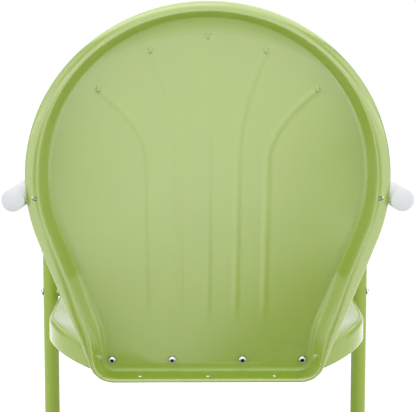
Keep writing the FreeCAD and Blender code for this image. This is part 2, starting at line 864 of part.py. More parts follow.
def behind_back(gap):
    """All that lies behind the flat foot of the back, in stations."""
    corner = Vector(-TOOL_REACH, -TOOL_REACH, -gap)
    block = Part.makeBox(2 * TOOL_REACH, 2 * TOOL_REACH, TOOL_REACH, corner)
    block.Placement = TO_STATIONS
    return block


def seat_tray(inset, thickness, radius, gap):
    """The space under the seat's upper face, inside its sides, with a rounded crest."""
    steps = rounded_edge(radius, thickness + size("seat_apron"))
    steps = [(inset + step_in, inset + step_down) for step_in, step_down in steps]
    low = ring(seat_runs(steps[0][0]), lambda x, y: 0.0)
    high = ring(seat_runs(steps[-1][0]), lambda x, y: 2 * TOOL_REACH)
    form = lofted([low, *[seat_ring(*step) for step in steps], high])
    return seat_slab(seat_top, inset, thickness).common(form).cut(behind_back(gap)).Solids[0]


def seat_pan():
    sheet_size = size("sheet")
    fillet = size("seat_edge_fillet")
    gap = size("fit_clearance")
    outer = seat_tray(0, size("seat_apron"), fillet, gap).cut(seat_slab(seat_hem, 0, size("seat_apron")))
    hollow = seat_tray(sheet_size, HOLLOW_REACH * size("seat_apron"), fillet - sheet_size, 0)
    low = size("upstand_low")
    high = size("upstand_high")
    half = size("upstand_half_width")
    upstand = Part.makeBox(2 * half, high - low, sheet_size, Vector(-half, low, -gap - sheet_size))
    tops = [edge for edge in upstand.Edges if is_upper_corner(edge, high)]
    upstand = upstand.makeFillet(size("upstand_corner"), tops)
    upstand.Placement = TO_STATIONS
    pan = outer.cut(hollow).fuse(upstand)
    tools = []
    for _, sign in SIDES:
        side_bolt = Vector(sign * (size("seat_half_width") - fillet), 0, size("seat_bolt_height"))
        tools.append(round_bar(HOLE, side_bolt, Vector(sign, 0, 0), 2 * fillet))
    for u in back_bolt_places():
        start = Vector(u, size("back_bolt_rise"), -2 * sheet_size)
        bar = round_bar(HOLE, start, Vector(0, 0, 1), 3 * sheet_size)
        bar.Placement = TO_STATIONS
        tools.append(bar)
    pan = pan.cut(Part.makeCompound(tools))
    add_feature("seat_pan", pan.Solids[0], TO_CHAIR)


def is_upper_corner(edge, height):
    """Whether an edge of the upstand runs along the press at its upper end."""
    ends = [vertex.Point for vertex in edge.Vertexes]
    return all(abs(point.y - height) < 1e-6 for point in ends) and abs(ends[0].x - ends[1].x) < 1e-6


# Fasteners, each built about its own Z axis with its bearing face at z = 0
def headed(label, kind, reach):
    """A round-headed bolt or screw: the head stands on z = 0 and the shank reaches below it."""
    shank = f"Sizes.{kind}_diameter / 2"
    head = f"Sizes.{kind}_head_diameter / 2"
    rim = f"Sizes.{kind}_head_rim"
    rise = f"(Sizes.{kind}_head_height - {rim})"
    dome = f"((Sizes.{kind}_head_diameter ^ 2 / 4 + {rise} ^ 2) / (2 * {rise}))"
    return turned(
        label,
        [
            ("0", f"-({reach})"),
            (shank, f"-({reach})"),
            (shank, "0"),
            (head, "0"),
            (head, rim, dome),
            ("0", f"Sizes.{kind}_head_height"),
        ],
    )


def draw_hexagon(sketch, width):
    corner = f"{width} / 2 / cos(30)"
    angles = range(30, 390, 60)
    draw_path(sketch, [(f"{corner} * cos({a})", f"{corner} * sin({a})") for a in angles], closed=True)


def socket_bolt(label, reach):
    """A round-headed bolt with a hexagonal socket."""
    body = headed(label, "bolt", reach)
    socket = new_sketch(body, "Socket", "XY_Plane", "Sizes.bolt_head_height")
    draw_hexagon(socket, "Sizes.socket_width")
    pocket = body.newObject("PartDesign::Pocket", "Socket_cut")
    pocket.Profile = socket
    pocket.setExpression("Length", "Sizes.socket_depth")
    return body


def nut(label):
    """A hexagon nut that stands on z = 0."""
    body = new_body(label)
    section = new_sketch(body, "Section", "XY_Plane")
    draw_hexagon(section, "Sizes.nut_width")
    draw_circle(section, "0", "0", "Sizes.bolt_diameter + 2 * Sizes.fit_clearance")
    pad = body.newObject("PartDesign::Pad", "Nut")
    pad.Profile = section
    pad.setExpression("Length", "Sizes.nut_height")
    return body


def place_on_back(body, u, v, w):
    """Seats a body on the slope of the back by expressions for its place there."""
    y = f"Sizes.back_foot_station + {v} * sin(Sizes.recline) + {w} * cos(Sizes.recline)"
    z = f"Sizes.back_foot_height + {v} * cos(Sizes.recline) - {w} * sin(Sizes.recline)"
    place(body, f"-1 * {u}", f"{y} - Sizes.upright_forward", z, BACK_ROTATION)


def back_joint(number, u):
    """A bolt through the foot of the back and the seat's upstand, with its nut in front."""
    front = "(Sizes.sheet + Sizes.fit_clearance)"
    reach = f"Sizes.sheet + {front} + Sizes.nut_height + Sizes.bolt_tip"
    bolt = socket_bolt(f"back_bolt_{number}", reach)
    place_on_back(bolt, u, "Sizes.back_bolt_rise", "Sizes.sheet")
    place_on_back(nut(f"back_nut_{number}"), u, "Sizes.back_bolt_rise", f"(-{front} - Sizes.nut_height)")


# Joints between the arms and the flange of the back
FLANGE_STEPS = 30
SLANT_STEP = 1.0


def side_reach(radius, climb):
    """Half the width of an outline beside its straight lower sides."""
    return (radius + climb * math.sin(TAPER)) / math.cos(TAPER)


def flange_reach(v, w, inset):
    """How far out a face of the flange lies at a rise and a press depth, found step by step."""
    u = ROOT_RADIUS
    climb = v - BACK_CENTRE
    for _ in range(FLANGE_STEPS):
        share = (w - back_dish(u, v)) / size("flange_depth")
        radius = ROOT_RADIUS + size("flange_spread") * share - inset
        if climb < -radius * math.sin(TAPER):
            u = side_reach(radius, climb)
        else:
            u = math.sqrt(radius**2 - climb**2)
    return u


def beyond_flange(v, w, inset):
    """All that lies outside a face of the flange, taken as flat around one place."""
    u = flange_reach(v, w, inset)
    slant_v = (flange_reach(v + SLANT_STEP, w, inset) - u) / SLANT_STEP
    slant_w = (flange_reach(v, w + SLANT_STEP, inset) - u) / SLANT_STEP
    block = Part.makeBox(TOOL_REACH, TOOL_REACH, TOOL_REACH, Vector(-TOOL_REACH / 2, -TOOL_REACH / 2, 0))
    block.Placement = Placement(Vector(u, v, w), Rotation(Vector(0, 0, 1), Vector(1, -slant_v, -slant_w)))
    return block


def arm_bolt_station():
    """The station, at the arms' height, where a bolt passes the flange at its own depth."""
    station = size("back_foot_station")
    for _ in range(FLANGE_STEPS):
        v, w = back_point(station, size("arm_height"))
        depth = w - back_dish(flange_reach(v, w, 0), v)
        station += (size("arm_bolt_depth") - depth) / math.cos(SLOPE)
    return station


foot_side = side_reach(ROOT_RADIUS, size("back_bolt_rise") - BACK_CENTRE)
add_row("back_bolt_outer", foot_side - size("back_bolt_edge"))
add_row("upstand_half_width", "=back_bolt_outer + upstand_margin")
add_row("arm_bolt_station", arm_bolt_station())
add_row("arm_reach", "=arm_bolt_station + arm_tail")
doc.recompute()
ARM_RISE, ARM_PRESS = back_point(size("arm_bolt_station"), size("arm_height"))


def arm_head_seat():
    """Where the head of the arm bolt bears: clear of the flange all round its washer."""
    reach = size("arm_washer_diameter") / 2
    offsets = ((reach, 0), (-reach, 0), (0, reach), (0, -reach))
    nearest = min(flange_reach(ARM_RISE + dv, ARM_PRESS + dw, FLANGE_WALL) for dv, dw in offsets)
    return nearest - size("arm_washer_lift")


def arm_bar(diameter, start, length):
    return round_bar(diameter, Vector(start, ARM_RISE, ARM_PRESS), Vector(1, 0, 0), length)


def add_on_back(label, sign, shape):
    """A piece made for the back's +u side, put on either side of the chair."""
    if sign > 0:
        shape = shape.mirror(Vector(), Vector(1, 0, 0))
    add_feature(label, shape.Solids[0], TO_CHAIR.multiply(TO_STATIONS))


def arm_washer(label, sign):
    """A bevelled washer between the bolt's head and the slanting inside of the flange."""
    seat = size("arm_head_seat")
    disc = arm_bar(size("arm_washer_diameter"), seat, SIDE - seat)
    disc = disc.cut(beyond_flange(ARM_RISE, ARM_PRESS, FLANGE_WALL + size("fit_clearance")))
    add_on_back(label, sign, disc.cut(arm_bar(HOLE, 0, SIDE)))


def arm_spacer(label, sign):
    """A short bush, bevelled against the outside of the flange and saddled against the arm."""
    bush = arm_bar(size("arm_spacer_diameter"), 0, SIDE)
    bush = bush.common(beyond_flange(ARM_RISE, ARM_PRESS, -size("fit_clearance")))
    to_back = TO_STATIONS.inverse()
    axis_start = to_back.multVec(Vector(-SIDE, size("arm_bolt_station") - TOOL_REACH, size("arm_height")))
    axis = to_back.Rotation.multVec(Vector(0, 1, 0))
    arm = round_bar(size("arm_diameter") + 2 * size("fit_clearance"), axis_start, axis, 2 * TOOL_REACH)
    add_on_back(label, sign, bush.cut([arm, arm_bar(HOLE, 0, SIDE)]))


def towards_side(sign):
    """Turns a piece's own Z axis to +X or -X."""
    return Rotation(Vector(0, 1, 0), 90 * sign)


INSERT_START = "(Sizes.side_spacing / 2 - sqrt(Sizes.arm_diameter ^ 2 - Sizes.arm_insert_diameter ^ 2) / 2)"


def arm_joint(side, sign):
    station = "Sizes.arm_bolt_station - Sizes.upright_forward"
    reach = f"{INSERT_START} + Sizes.arm_insert_length - Sizes.arm_head_seat"
    bolt = headed(f"{side}_arm_bolt", "bolt", reach)
    place(bolt, f"{sign} * Sizes.arm_head_seat", station, "Sizes.arm_height", towards_side(-sign))
    arm_washer(f"{side}_arm_washer", sign)
    arm_spacer(f"{side}_arm_spacer", sign)
    bore = "Sizes.bolt_diameter / 2 + Sizes.fit_clearance"
    skin = "Sizes.arm_insert_diameter / 2"
    far = "Sizes.arm_insert_length"
    insert = turned(f"{side}_arm_nut", [(bore, "0"), (skin, "0"), (skin, far), (bore, far)])
    place(insert, f"{sign} * {INSERT_START}", station, "Sizes.arm_height", towards_side(sign))


# Joints between the uprights and the sides of the seat
def seat_joint(side, sign):
    gap = "(Sizes.side_spacing / 2 - Sizes.seat_half_width)"
    reach = f"Sizes.leg_diameter / 2 + {gap} + Sizes.sheet + Sizes.nut_height + Sizes.bolt_tip"
    y = "-Sizes.upright_forward"
    z = "Sizes.seat_bolt_height"
    bolt = headed(f"{side}_seat_bolt", "bolt", reach)
    place(bolt, f"{sign} * (Sizes.side_spacing + Sizes.leg_diameter) / 2", y, z, towards_side(sign))
    inside = f"{sign} * (Sizes.seat_half_width - Sizes.sheet)"
    place(nut(f"{side}_seat_nut"), inside, y, z, towards_side(-sign))
    spacer = new_body(f"{side}_seat_spacer")
    section = new_sketch(spacer, "Section", "YZ_Plane")
    draw_circle(section, "0", "0", "Sizes.seat_spacer_diameter")
    draw_circle(section, "0", "0", "Sizes.bolt_diameter + 2 * Sizes.hole_clearance")
    pad = spacer.newObject("PartDesign::Pad", "Bush")
    pad.Profile = section
    pad.setExpression("Length", gap)
    drill(spacer, "Saddle", "XY_Plane", gap, "0", "Sizes.leg_diameter + 2 * Sizes.fit_clearance")
    place(spacer, f"{sign} * Sizes.seat_half_width", y, z, Rotation(Vector(0, 0, 1), 90 - 90 * sign))


# Screws that lock the tubes together
def tube_screws(side, sign):
    arm_screw = headed(f"{side}_arm_screw", "screw", "Sizes.screw_length")
    front = "-Sizes.upright_forward - Sizes.arm_diameter / 2"
    forwards = Rotation(Vector(1, 0, 0), 90)
    place(arm_screw, f"{sign} * Sizes.side_spacing / 2", front, "Sizes.arm_screw_height", forwards)
    neck_screw = headed(f"{side}_crossbar_screw", "screw", "Sizes.screw_length")
    x = f"{sign} * (Sizes.side_spacing - Sizes.leg_diameter) / 2"
    y = "Sizes.runner_end - Sizes.neck_screw_setback - Sizes.upright_forward"
    place(neck_screw, x, y, RUNNER_HEIGHT, towards_side(-sign))


# The chair
for side, sign in SIDES:
    arm_tube(f"{side}_arm_tube", sign)
    arm_end_cap(f"{side}_arm_end_cap", sign)
    arm_ferrule(f"{side}_arm_ferrule", sign)
    leg_tube(f"{side}_leg_tube", sign)
    glide(f"front_{side}_glide", sign, "Sizes.front_glide_station")
    glide(f"rear_{side}_glide", sign, "Sizes.rear_glide_station")
rear_floor_crossbar()
back_shell(*back_solids())
seat_pan()
add_row("arm_head_seat", arm_head_seat())
doc.recompute()
for number, u in enumerate(("outer", "inner"), start=1):
    back_joint(number, f"Sizes.back_bolt_{u}")
    back_joint(5 - number, f"(-Sizes.back_bolt_{u})")
for side, sign in SIDES:
    arm_joint(side, sign)
    seat_joint(side, sign)
    tube_screws(side, sign)
doc.recompute()

# Checks, then one file for each sub-part
for item in doc.Objects:
    if "Invalid" in item.State or "Error" in item.State:
        raise RuntimeError(f"{item.Label} did not build")
os.makedirs("parts", exist_ok=True)
for piece in subparts:
    if piece.Shape.isNull() or not piece.Shape.isValid() or len(piece.Shape.Solids) != 1:
        raise RuntimeError(f"{piece.Label} is not one valid solid")
    piece.Shape.exportStep(f"parts/{piece.Label}.step")
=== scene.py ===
"""Metal patio chair: pressed back and seat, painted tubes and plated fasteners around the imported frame."""

import json
import math

import bpy
from bpy.props import FloatProperty, FloatVectorProperty, IntProperty, PointerProperty
from mathutils import Matrix, Vector


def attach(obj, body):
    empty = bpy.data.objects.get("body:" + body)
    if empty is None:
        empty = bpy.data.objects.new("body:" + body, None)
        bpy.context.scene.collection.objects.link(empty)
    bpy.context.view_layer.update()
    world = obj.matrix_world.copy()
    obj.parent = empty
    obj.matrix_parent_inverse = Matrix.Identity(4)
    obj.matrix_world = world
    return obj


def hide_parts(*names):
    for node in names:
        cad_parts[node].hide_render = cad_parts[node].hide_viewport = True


bl_info = {
    "name": "Patio Chair",
    "version": (1, 0, 0),
    "blender": (4, 5, 0),
    "location": "View3D > Sidebar > Patio Chair",
    "description": "Models the pressed shells, tubes and finishes of a metal patio chair",
    "category": "Object",
}

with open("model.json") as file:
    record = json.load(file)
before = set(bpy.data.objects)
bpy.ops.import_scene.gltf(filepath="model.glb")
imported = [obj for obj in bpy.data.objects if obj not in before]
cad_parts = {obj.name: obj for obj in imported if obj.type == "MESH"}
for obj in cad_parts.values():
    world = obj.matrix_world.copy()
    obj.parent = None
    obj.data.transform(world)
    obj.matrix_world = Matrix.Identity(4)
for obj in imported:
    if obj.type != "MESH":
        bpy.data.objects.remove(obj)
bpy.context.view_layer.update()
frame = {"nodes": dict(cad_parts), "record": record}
SIDES = (("left", 1), ("right", -1))


# Sizes and colours that a user would change
class PATIO_PG_back(bpy.types.PropertyGroup):
    """The pressed back shell, on its own slope."""

    recline: FloatProperty(
        name="Recline",
        description="Lean of the back from upright",
        default=math.radians(18),
        subtype="ANGLE",
    )
    foot_y: FloatProperty(
        name="Foot depth", description="Where the foot of the panel stands", default=0.136, unit="LENGTH"
    )
    foot_z: FloatProperty(
        name="Foot height", description="Height of the foot of the panel", default=0.3255, unit="LENGTH"
    )
    length: FloatProperty(name="Length", description="From foot to crown", default=0.5516, unit="LENGTH")
    rim_radius: FloatProperty(
        name="Rim radius", description="Round upper rim", default=0.2496, unit="LENGTH"
    )
    foot_corner: FloatProperty(
        name="Foot corner", description="Radius of the lower corners", default=0.031, unit="LENGTH"
    )
    taper: FloatProperty(
        name="Taper",
        description="Lean of the straight lower sides",
        default=math.radians(18.6),
        subtype="ANGLE",
    )
    sheet: FloatProperty(name="Sheet", description="Thickness of the steel", default=0.0016, unit="LENGTH")
    flange_depth: FloatProperty(
        name="Flange depth", description="Depth of the side wall", default=0.025, unit="LENGTH"
    )
    flange_spread: FloatProperty(
        name="Flange spread", description="Splay of the side wall", default=0.011, unit="LENGTH"
    )
    foot_spread: FloatProperty(
        name="Foot spread", description="Splay of the foot wall", default=0.001, unit="LENGTH"
    )
    root_round: FloatProperty(
        name="Root round", description="Inner radius at the foot", default=0.0055, unit="LENGTH"
    )
    rim_reach: FloatProperty(
        name="Rim reach", description="Radius of the rim's outer edge", default=0.251, unit="LENGTH"
    )
    rim_slope: FloatProperty(
        name="Rim slope",
        description="Slope of the rim's inner wall round the sides",
        default=math.radians(61),
        subtype="ANGLE",
    )
    rim_round: FloatProperty(
        name="Rim round", description="Radius from panel to rim", default=0.005, unit="LENGTH"
    )
    rim_wall: FloatProperty(
        name="Rim wall", description="Straight part of the rim's inner wall", default=0.0215, unit="LENGTH"
    )
    rim_edge: FloatProperty(
        name="Rim edge", description="Radius of the rim's inner edge", default=0.0025, unit="LENGTH"
    )
    rim_width: FloatProperty(
        name="Rim width", description="Width of the rim's crowned face", default=0.017, unit="LENGTH"
    )
    crown_width: FloatProperty(
        name="Crown width", description="Width of the rim's face at the crown", default=0.0115, unit="LENGTH"
    )
    crown_fall: FloatProperty(
        name="Crown fall",
        description="How far the rim's face turns down at the crown",
        default=math.radians(60),
        subtype="ANGLE",
    )
    rim_fall: FloatProperty(
        name="Rim fall",
        description="How far the rim's face turns down",
        default=math.radians(35),
        subtype="ANGLE",
    )
    roll_radius: FloatProperty(
        name="Rolled edge", description="Radius of the rolled edge", default=0.0026, unit="LENGTH"
    )
    bead: FloatProperty(
        name="Rim bead", description="Radius of the rim's rolled edge", default=0.003, unit="LENGTH"
    )
    wrap: FloatProperty(
        name="Wrap", description="How far the sides wrap forward", default=0.0113, unit="LENGTH"
    )
    curl: FloatProperty(
        name="Curl", description="How far the crown curls forward", default=0.0286, unit="LENGTH"
    )
    flat_height: FloatProperty(
        name="Flat foot", description="Where the wrap starts", default=0.15, unit="LENGTH"
    )
    dish_rise: FloatProperty(
        name="Dish rise", description="Run over which the wrap grows", default=0.2, unit="LENGTH"
    )
    curl_start: FloatProperty(
        name="Curl start", description="Where the curl starts", default=0.25, unit="LENGTH"
    )
    flute_half_width: FloatProperty(
        name="Flute half width", description="Half width of a flute", default=0.0075, unit="LENGTH"
    )
    flute_height: FloatProperty(
        name="Flute height", description="Rise of a flute", default=0.0005, unit="LENGTH"
    )
    pip_radius: FloatProperty(
        name="Pip radius", description="Radius of a pip", default=0.0052, unit="LENGTH"
    )
    pip_height: FloatProperty(name="Pip height", description="Rise of a pip", default=0.0026, unit="LENGTH")
    columns: IntProperty(name="Columns", description="Faces across the panel", default=108)
    rows: IntProperty(name="Rows", description="Faces up the panel", default=118)


class PATIO_PG_seat(bpy.types.PropertyGroup):
    """The pressed seat pan."""

    half_width: FloatProperty(
        name="Half width", description="Half the seat's width", default=0.242, unit="LENGTH"
    )
    front: FloatProperty(
        name="Front", description="Reach ahead of the uprights", default=0.118, unit="LENGTH"
    )
    front_bow: FloatProperty(
        name="Front bow", description="Radius of the bowed front", default=1.4, unit="LENGTH"
    )
    front_corner: FloatProperty(
        name="Front corner", description="Radius of the front corners", default=0.06, unit="LENGTH"
    )
    rear: FloatProperty(name="Rear", description="Reach behind the uprights", default=0.34, unit="LENGTH")
    rear_corner: FloatProperty(
        name="Rear corner", description="Radius of the rear corners", default=0.105, unit="LENGTH"
    )
    crest_front: FloatProperty(
        name="Crest front", description="Height of the crest in front", default=0.41, unit="LENGTH"
    )
    crest_rear: FloatProperty(
        name="Crest rear", description="Height of the crest behind", default=0.391, unit="LENGTH"
    )
    dish_front: FloatProperty(
        name="Dish front", description="Depth of the dish in front", default=0.015, unit="LENGTH"
    )
    dish_rear: FloatProperty(
        name="Dish rear", description="Depth of the dish behind", default=0.065, unit="LENGTH"
    )
    waterfall: FloatProperty(
        name="Waterfall", description="Drop of the front edge", default=0.014, unit="LENGTH"
    )
    waterfall_length: FloatProperty(
        name="Waterfall length", description="Run of that drop", default=0.08, unit="LENGTH"
    )
    apron: FloatProperty(name="Apron", description="Depth of the seat's side", default=0.038, unit="LENGTH")
    hem_share: FloatProperty(
        name="Hem sag", description="Share of the dish that the hem follows", default=0.75
    )
    edge_round: FloatProperty(
        name="Crest round", description="Radius of the crest", default=0.01, unit="LENGTH"
    )
    upstand_half: FloatProperty(
        name="Upstand half width", description="Half width of the rear tab", default=0.146, unit="LENGTH"
    )
    upstand_top: FloatProperty(
        name="Upstand top", description="Rise of the rear tab", default=0.052, unit="LENGTH"
    )


class PATIO_PG_bolt(bpy.types.PropertyGroup):
    """Bolts along the foot of the back."""

    head_radius: FloatProperty(
        name="Head radius", description="Radius of the head", default=0.006, unit="LENGTH"
    )
    head_height: FloatProperty(
        name="Head height", description="Height of the domed head", default=0.0036, unit="LENGTH"
    )
    shank_radius: FloatProperty(
        name="Shank radius", description="Radius of the shank", default=0.003, unit="LENGTH"
    )
    shank_length: FloatProperty(
        name="Shank length", description="Length below the head", default=0.0114, unit="LENGTH"
    )


class PATIO_PG_spacer(bpy.types.PropertyGroup):
    """Spacers between the arms and the rim."""

    radius: FloatProperty(name="Radius", description="Radius of a spacer", default=0.0065, unit="LENGTH")
    length: FloatProperty(name="Length", description="Length of a spacer", default=0.007, unit="LENGTH")
    station: FloatProperty(
        name="Station", description="Middle of a spacer across the chair", default=0.2505, unit="LENGTH"
    )
    depth: FloatProperty(
        name="Depth", description="Where a spacer stands from front to rear", default=0.2235, unit="LENGTH"
    )
    height: FloatProperty(name="Height", description="Height of a spacer", default=0.588, unit="LENGTH")


class PATIO_PG_finish(bpy.types.PropertyGroup):
    """Paint and plating."""

    green: FloatVectorProperty(
        name="Green",
        description="Powder coat of shells and frame",
        default=(0.35, 0.49, 0.05),
        subtype="COLOR",
    )
    white: FloatVectorProperty(
        name="White", description="Powder coat of the arms", default=(0.80, 0.82, 0.84), subtype="COLOR"
    )
    plating: FloatVectorProperty(
        name="Plating", description="Bright plating", default=(0.72, 0.72, 0.73), subtype="COLOR"
    )
    glide: FloatVectorProperty(
        name="Glide", description="Plastic of the glides", default=(0.03, 0.03, 0.032), subtype="COLOR"
    )
    # Painted shade: this darker green stands in for shade and dark reflection inside the rim and along the
    # foot of the back
    corner: FloatVectorProperty(
        name="Corner shade",
        description="Deeper green inside the rim and along the foot of the back",
        default=(0.28, 0.43, 0.01),
        subtype="COLOR",
    )
    socket: FloatVectorProperty(
        name="Socket",
        description="Shade in the bolts' sockets",
        default=(0.01, 0.01, 0.01),
        subtype="COLOR",
    )
    zinc: FloatVectorProperty(
        name="Zinc", description="Zinc plating", default=(0.5, 0.51, 0.52), subtype="COLOR"
    )


class PATIO_PG_stage(bpy.types.PropertyGroup):
    """Camera and studio."""

    lens: FloatProperty(name="Lens", description="Focal length in millimetres", default=107.7)
    camera: FloatVectorProperty(
        name="Camera",
        description="Where the camera stands",
        default=(0.019, 1.937, 0.7585),
        subtype="TRANSLATION",
    )
    aim: FloatVectorProperty(
        name="Aim",
        description="What the camera looks at",
        default=(0.0, 0.237, 0.5798),
        subtype="TRANSLATION",
    )
    world: FloatProperty(name="World", description="Strength of the studio's surround", default=0.76)
    room: FloatProperty(name="Room", description="How bright the room is in a gloss", default=0.6)
    sweep: FloatProperty(
        name="Sweep", description="How wide the bright floor fans out behind the chair", default=0.95
    )
    ceiling: FloatProperty(name="Ceiling", description="How bright the ceiling is in a gloss", default=2.0)
    front: FloatProperty(name="Front", description="How bright the room ahead is in a gloss", default=0.95)
    rear: FloatProperty(name="Rear", description="How bright the room behind is in a gloss", default=1.5)
    sweep_light: FloatProperty(
        name="Sweep light", description="How bright the floor is in a gloss", default=1.45
    )


# Selection and mesh helpers
def only(piece):
    """Makes one object the only one selected, and active."""
    bpy.ops.object.select_all(action="DESELECT")
    piece.select_set(True)
    bpy.context.view_layer.objects.active = piece


def start_piece(name):
    """Names the primitive that was just added."""
    piece = bpy.context.object
    piece.name = name
    piece.data.name = name
    return piece


def extrude_edge(piece, place):
    """Extrudes the selected edge loop once, then puts each new point where place says."""
    bpy.ops.object.mode_set(mode="EDIT")
    bpy.ops.mesh.extrude_region_move(TRANSFORM_OT_translate={"value": (0, 0, 0)})
    bpy.ops.object.mode_set(mode="OBJECT")
    around = piece.data.attributes["around"].data
    for vertex in piece.data.vertices:
        if vertex.select:
            vertex.co = place(around[vertex.index].value)


def select_open_edge(piece):
    """Selects the outer edge of an open sheet."""
    only(piece)
    bpy.ops.object.mode_set(mode="EDIT")
    bpy.ops.mesh.select_mode(type="EDGE")
    bpy.ops.mesh.select_all(action="DESELECT")
    bpy.ops.mesh.select_non_manifold(
        use_wire=False, use_boundary=True, use_multi_face=False, use_non_contiguous=False, use_verts=False
    )
    bpy.ops.object.mode_set(mode="OBJECT")


def select_faces(piece, wanted):
    """Selects the faces whose centre passes a test."""
    only(piece)
    bpy.ops.object.mode_set(mode="EDIT")
    bpy.ops.mesh.select_mode(type="FACE")
    bpy.ops.mesh.select_all(action="DESELECT")
    bpy.ops.object.mode_set(mode="OBJECT")
    for face in piece.data.polygons:
        face.select = wanted(face.center)


def apply_modifier(piece, kind, **settings):
    """Adds a modifier of one kind and applies it."""
    only(piece)
    modifier = piece.modifiers.new(kind.title(), kind)
    for key, value in settings.items():
        setattr(modifier, key, value)
    bpy.ops.object.modifier_apply(modifier=modifier.name)


SHELL_CREASE = 40
CREASE = 35
NEAR_AXIS = 0.001
TOUCH = 1e-5


def smooth(piece, degrees):
    """Shades smooth, with edges sharper than an angle left sharp."""
    only(piece)
    bpy.ops.object.shade_smooth_by_angle(angle=math.radians(degrees))


def dress(piece, material):
    """Gives a piece one material."""
    piece.data.materials.clear()
    piece.data.materials.append(material)


def ramp(share):
    """A smooth step from 0 to 1."""
    share = min(max(share, 0.0), 1.0)
    return share**2 * (3 - 2 * share)


def rise(value, span):
    """A smooth step from 0 to 1 over a span."""
    first, last = span
    return ramp((value - first) / (last - first))


# Plan outlines: runs of arcs and straights, followed by one number that counts the runs
def arc(centre_x, centre_y, radius, first, last):
    """A round run between two angles."""

    def point(share):
        angle = first + (last - first) * share
        return Vector((centre_x + radius * math.cos(angle), centre_y + radius * math.sin(angle)))

    return point


def straight(start, end):
    """A straight run."""
    return lambda share: start.lerp(end, share)


def follow(runs, around):
    """The point of an outline at a number that counts its runs."""
    around %= len(runs)
    index = min(int(around), len(runs) - 1)
    return runs[index](around - index)


EVEN_STEPS = 240
EVEN_SLACK = 1e-12
ON_EDGE = 1e-6


def evenly(runs, first, last):
    """A function from a share of the way along part of an outline to the number of that place."""
    numbers = [first + (last - first) * k / EVEN_STEPS for k in range(EVEN_STEPS + 1)]
    points = [follow(runs, number) for number in numbers]
    lengths = [0.0]
    for before, after in zip(points, points[1:]):
        lengths.append(lengths[-1] + (after - before).length)

    def number_at(share):
        target = share * lengths[-1]
        index = next((k for k in range(1, EVEN_STEPS + 1) if lengths[k] >= target - EVEN_SLACK), EVEN_STEPS)
        step = lengths[index] - lengths[index - 1]
        part = (target - lengths[index - 1]) / step if step > 0 else 0.0
        return numbers[index - 1] + (numbers[index] - numbers[index - 1]) * part

    return number_at


def fill_outline(piece, runs, corners):
    """Spreads a flat two-by-two grid over an outline whose four corner numbers are given.

    The corners run lower left, lower right, upper right, upper left. The grid's edge keeps the
    number of its place on the outline in the attribute "around".
    """
    low_left, low_right, high_right, high_left = corners
    low = evenly(runs, low_left, low_right)
    right = evenly(runs, low_right, high_right)
    high = evenly(runs, high_left, high_right)
    left = evenly(runs, low_left + len(runs), high_left)
    spots = [follow(runs, number) for number in corners]
    around = piece.data.attributes.new("around", "FLOAT", "POINT").data
    edge_tables = {}

    def edge(name, curve, share):
        key = (name, round(share, 5))
        if key not in edge_tables:
            edge_tables[key] = curve(share)
        return edge_tables[key]

    for vertex in piece.data.vertices:
        across = (vertex.co.x + 1) / 2
        up = (vertex.co.y + 1) / 2
        numbers = (
            edge("low", low, across),
            edge("high", high, across),
            edge("left", left, up),
            edge("right", right, up),
        )
        below, above, to_left, to_right = (follow(runs, number) for number in numbers)
        blend = below * (1 - up) + above * up + to_left * (1 - across) + to_right * across
        flat_low = spots[0] * (1 - across) + spots[1] * across
        flat_high = spots[3] * (1 - across) + spots[2] * across
        spot = blend - (flat_low * (1 - up) + flat_high * up)
        for from_edge, number in zip((up, 1 - up, across, 1 - across), numbers):
            if from_edge < ON_EDGE:
                around[vertex.index].value = number
        vertex.co = (spot.x, spot.y, 0)


# Back shell: u across, v up the slope, w along the press to the rear
FLUTES = (
    # Low spacing, rise of the bend, spacing of the pip, rise of the pip
    (0.0, 0.3284, 0.0, 0.503),
    (0.04, 0.3284, 0.077, 0.484),
    (0.081, 0.3284, 0.1475, 0.431),
)
FLUTE_LOW = 0.07
FLUTE_FADE = 0.06
DRAINS = (-0.0983, 0.0007, 0.0983)
DRAIN_DEPTH = 0.017
DRAIN_RADIUS = 0.0025
DRAIN_CUT = 0.025
PORT = Vector((0.2375, 0.2835, 0.012))
PORT_RADIUS = 0.0042
PORT_CUT = 0.03
HOLE_SIDES = 24
PIP_POWER = 1.5
FLUTE_MARGIN = 1.6


def back_dish(back, u, v):
    """Depth of the plain panel, which wraps forward at the sides and curls forward at the crown."""
    root = back.rim_radius - back.bead - back.flange_spread
    wrap = back.wrap * ramp((v - back.flat_height) / back.dish_rise)
    curl = back.curl * max((v - back.curl_start) / (back.length - back.curl_start), 0.0) ** 2
    return -wrap * (u / root) ** 2 - curl


def back_outline(back, radius, corner, foot):
    """Outline of the back from its crown's radius, its lower corners' radius and the rise of its foot."""
    centre = back.length - back.rim_radius
    lean = back.taper
    corner_v = foot + corner
    corner_u = (radius - corner + (corner_v - centre) * math.sin(lean)) / math.cos(lean)
    right = arc(corner_u, corner_v, corner, -math.pi / 2, -lean)
    crown = arc(0, centre, radius, -lean, math.pi + lean)
    left = arc(-corner_u, corner_v, corner, math.pi + lean, 1.5 * math.pi)
    return (
        straight(left(1), right(0)),
        right,
        straight(right(1), crown(0)),
        crown,
        straight(crown(1), left(0)),
        left,
    )


def foot_runs(back, inset, depth):
    """Outline of the back's splayed wall at a depth along the press, moved inwards by an inset."""
    share = depth / back.flange_depth
    drawn_in = back.flange_spread * (1 - share) + inset
    radius = back.rim_radius - back.bead - drawn_in
    return back_outline(back, radius, back.foot_corner - drawn_in, inset - back.foot_spread * share)


def side_runs(back, inset):
    """Outline of the back moved inwards from the outer edge of its rim."""
    return back_outline(back, back.rim_reach - inset, back.foot_corner - inset / 2, 0)


def flute_line(flute, v):
    """Distance of a flute from the middle at a rise."""
    low, bend, pip, top = flute
    share = min(max((v - bend) / (top - bend), 0.0), 1.0)
    return low + (pip - low) * share**2


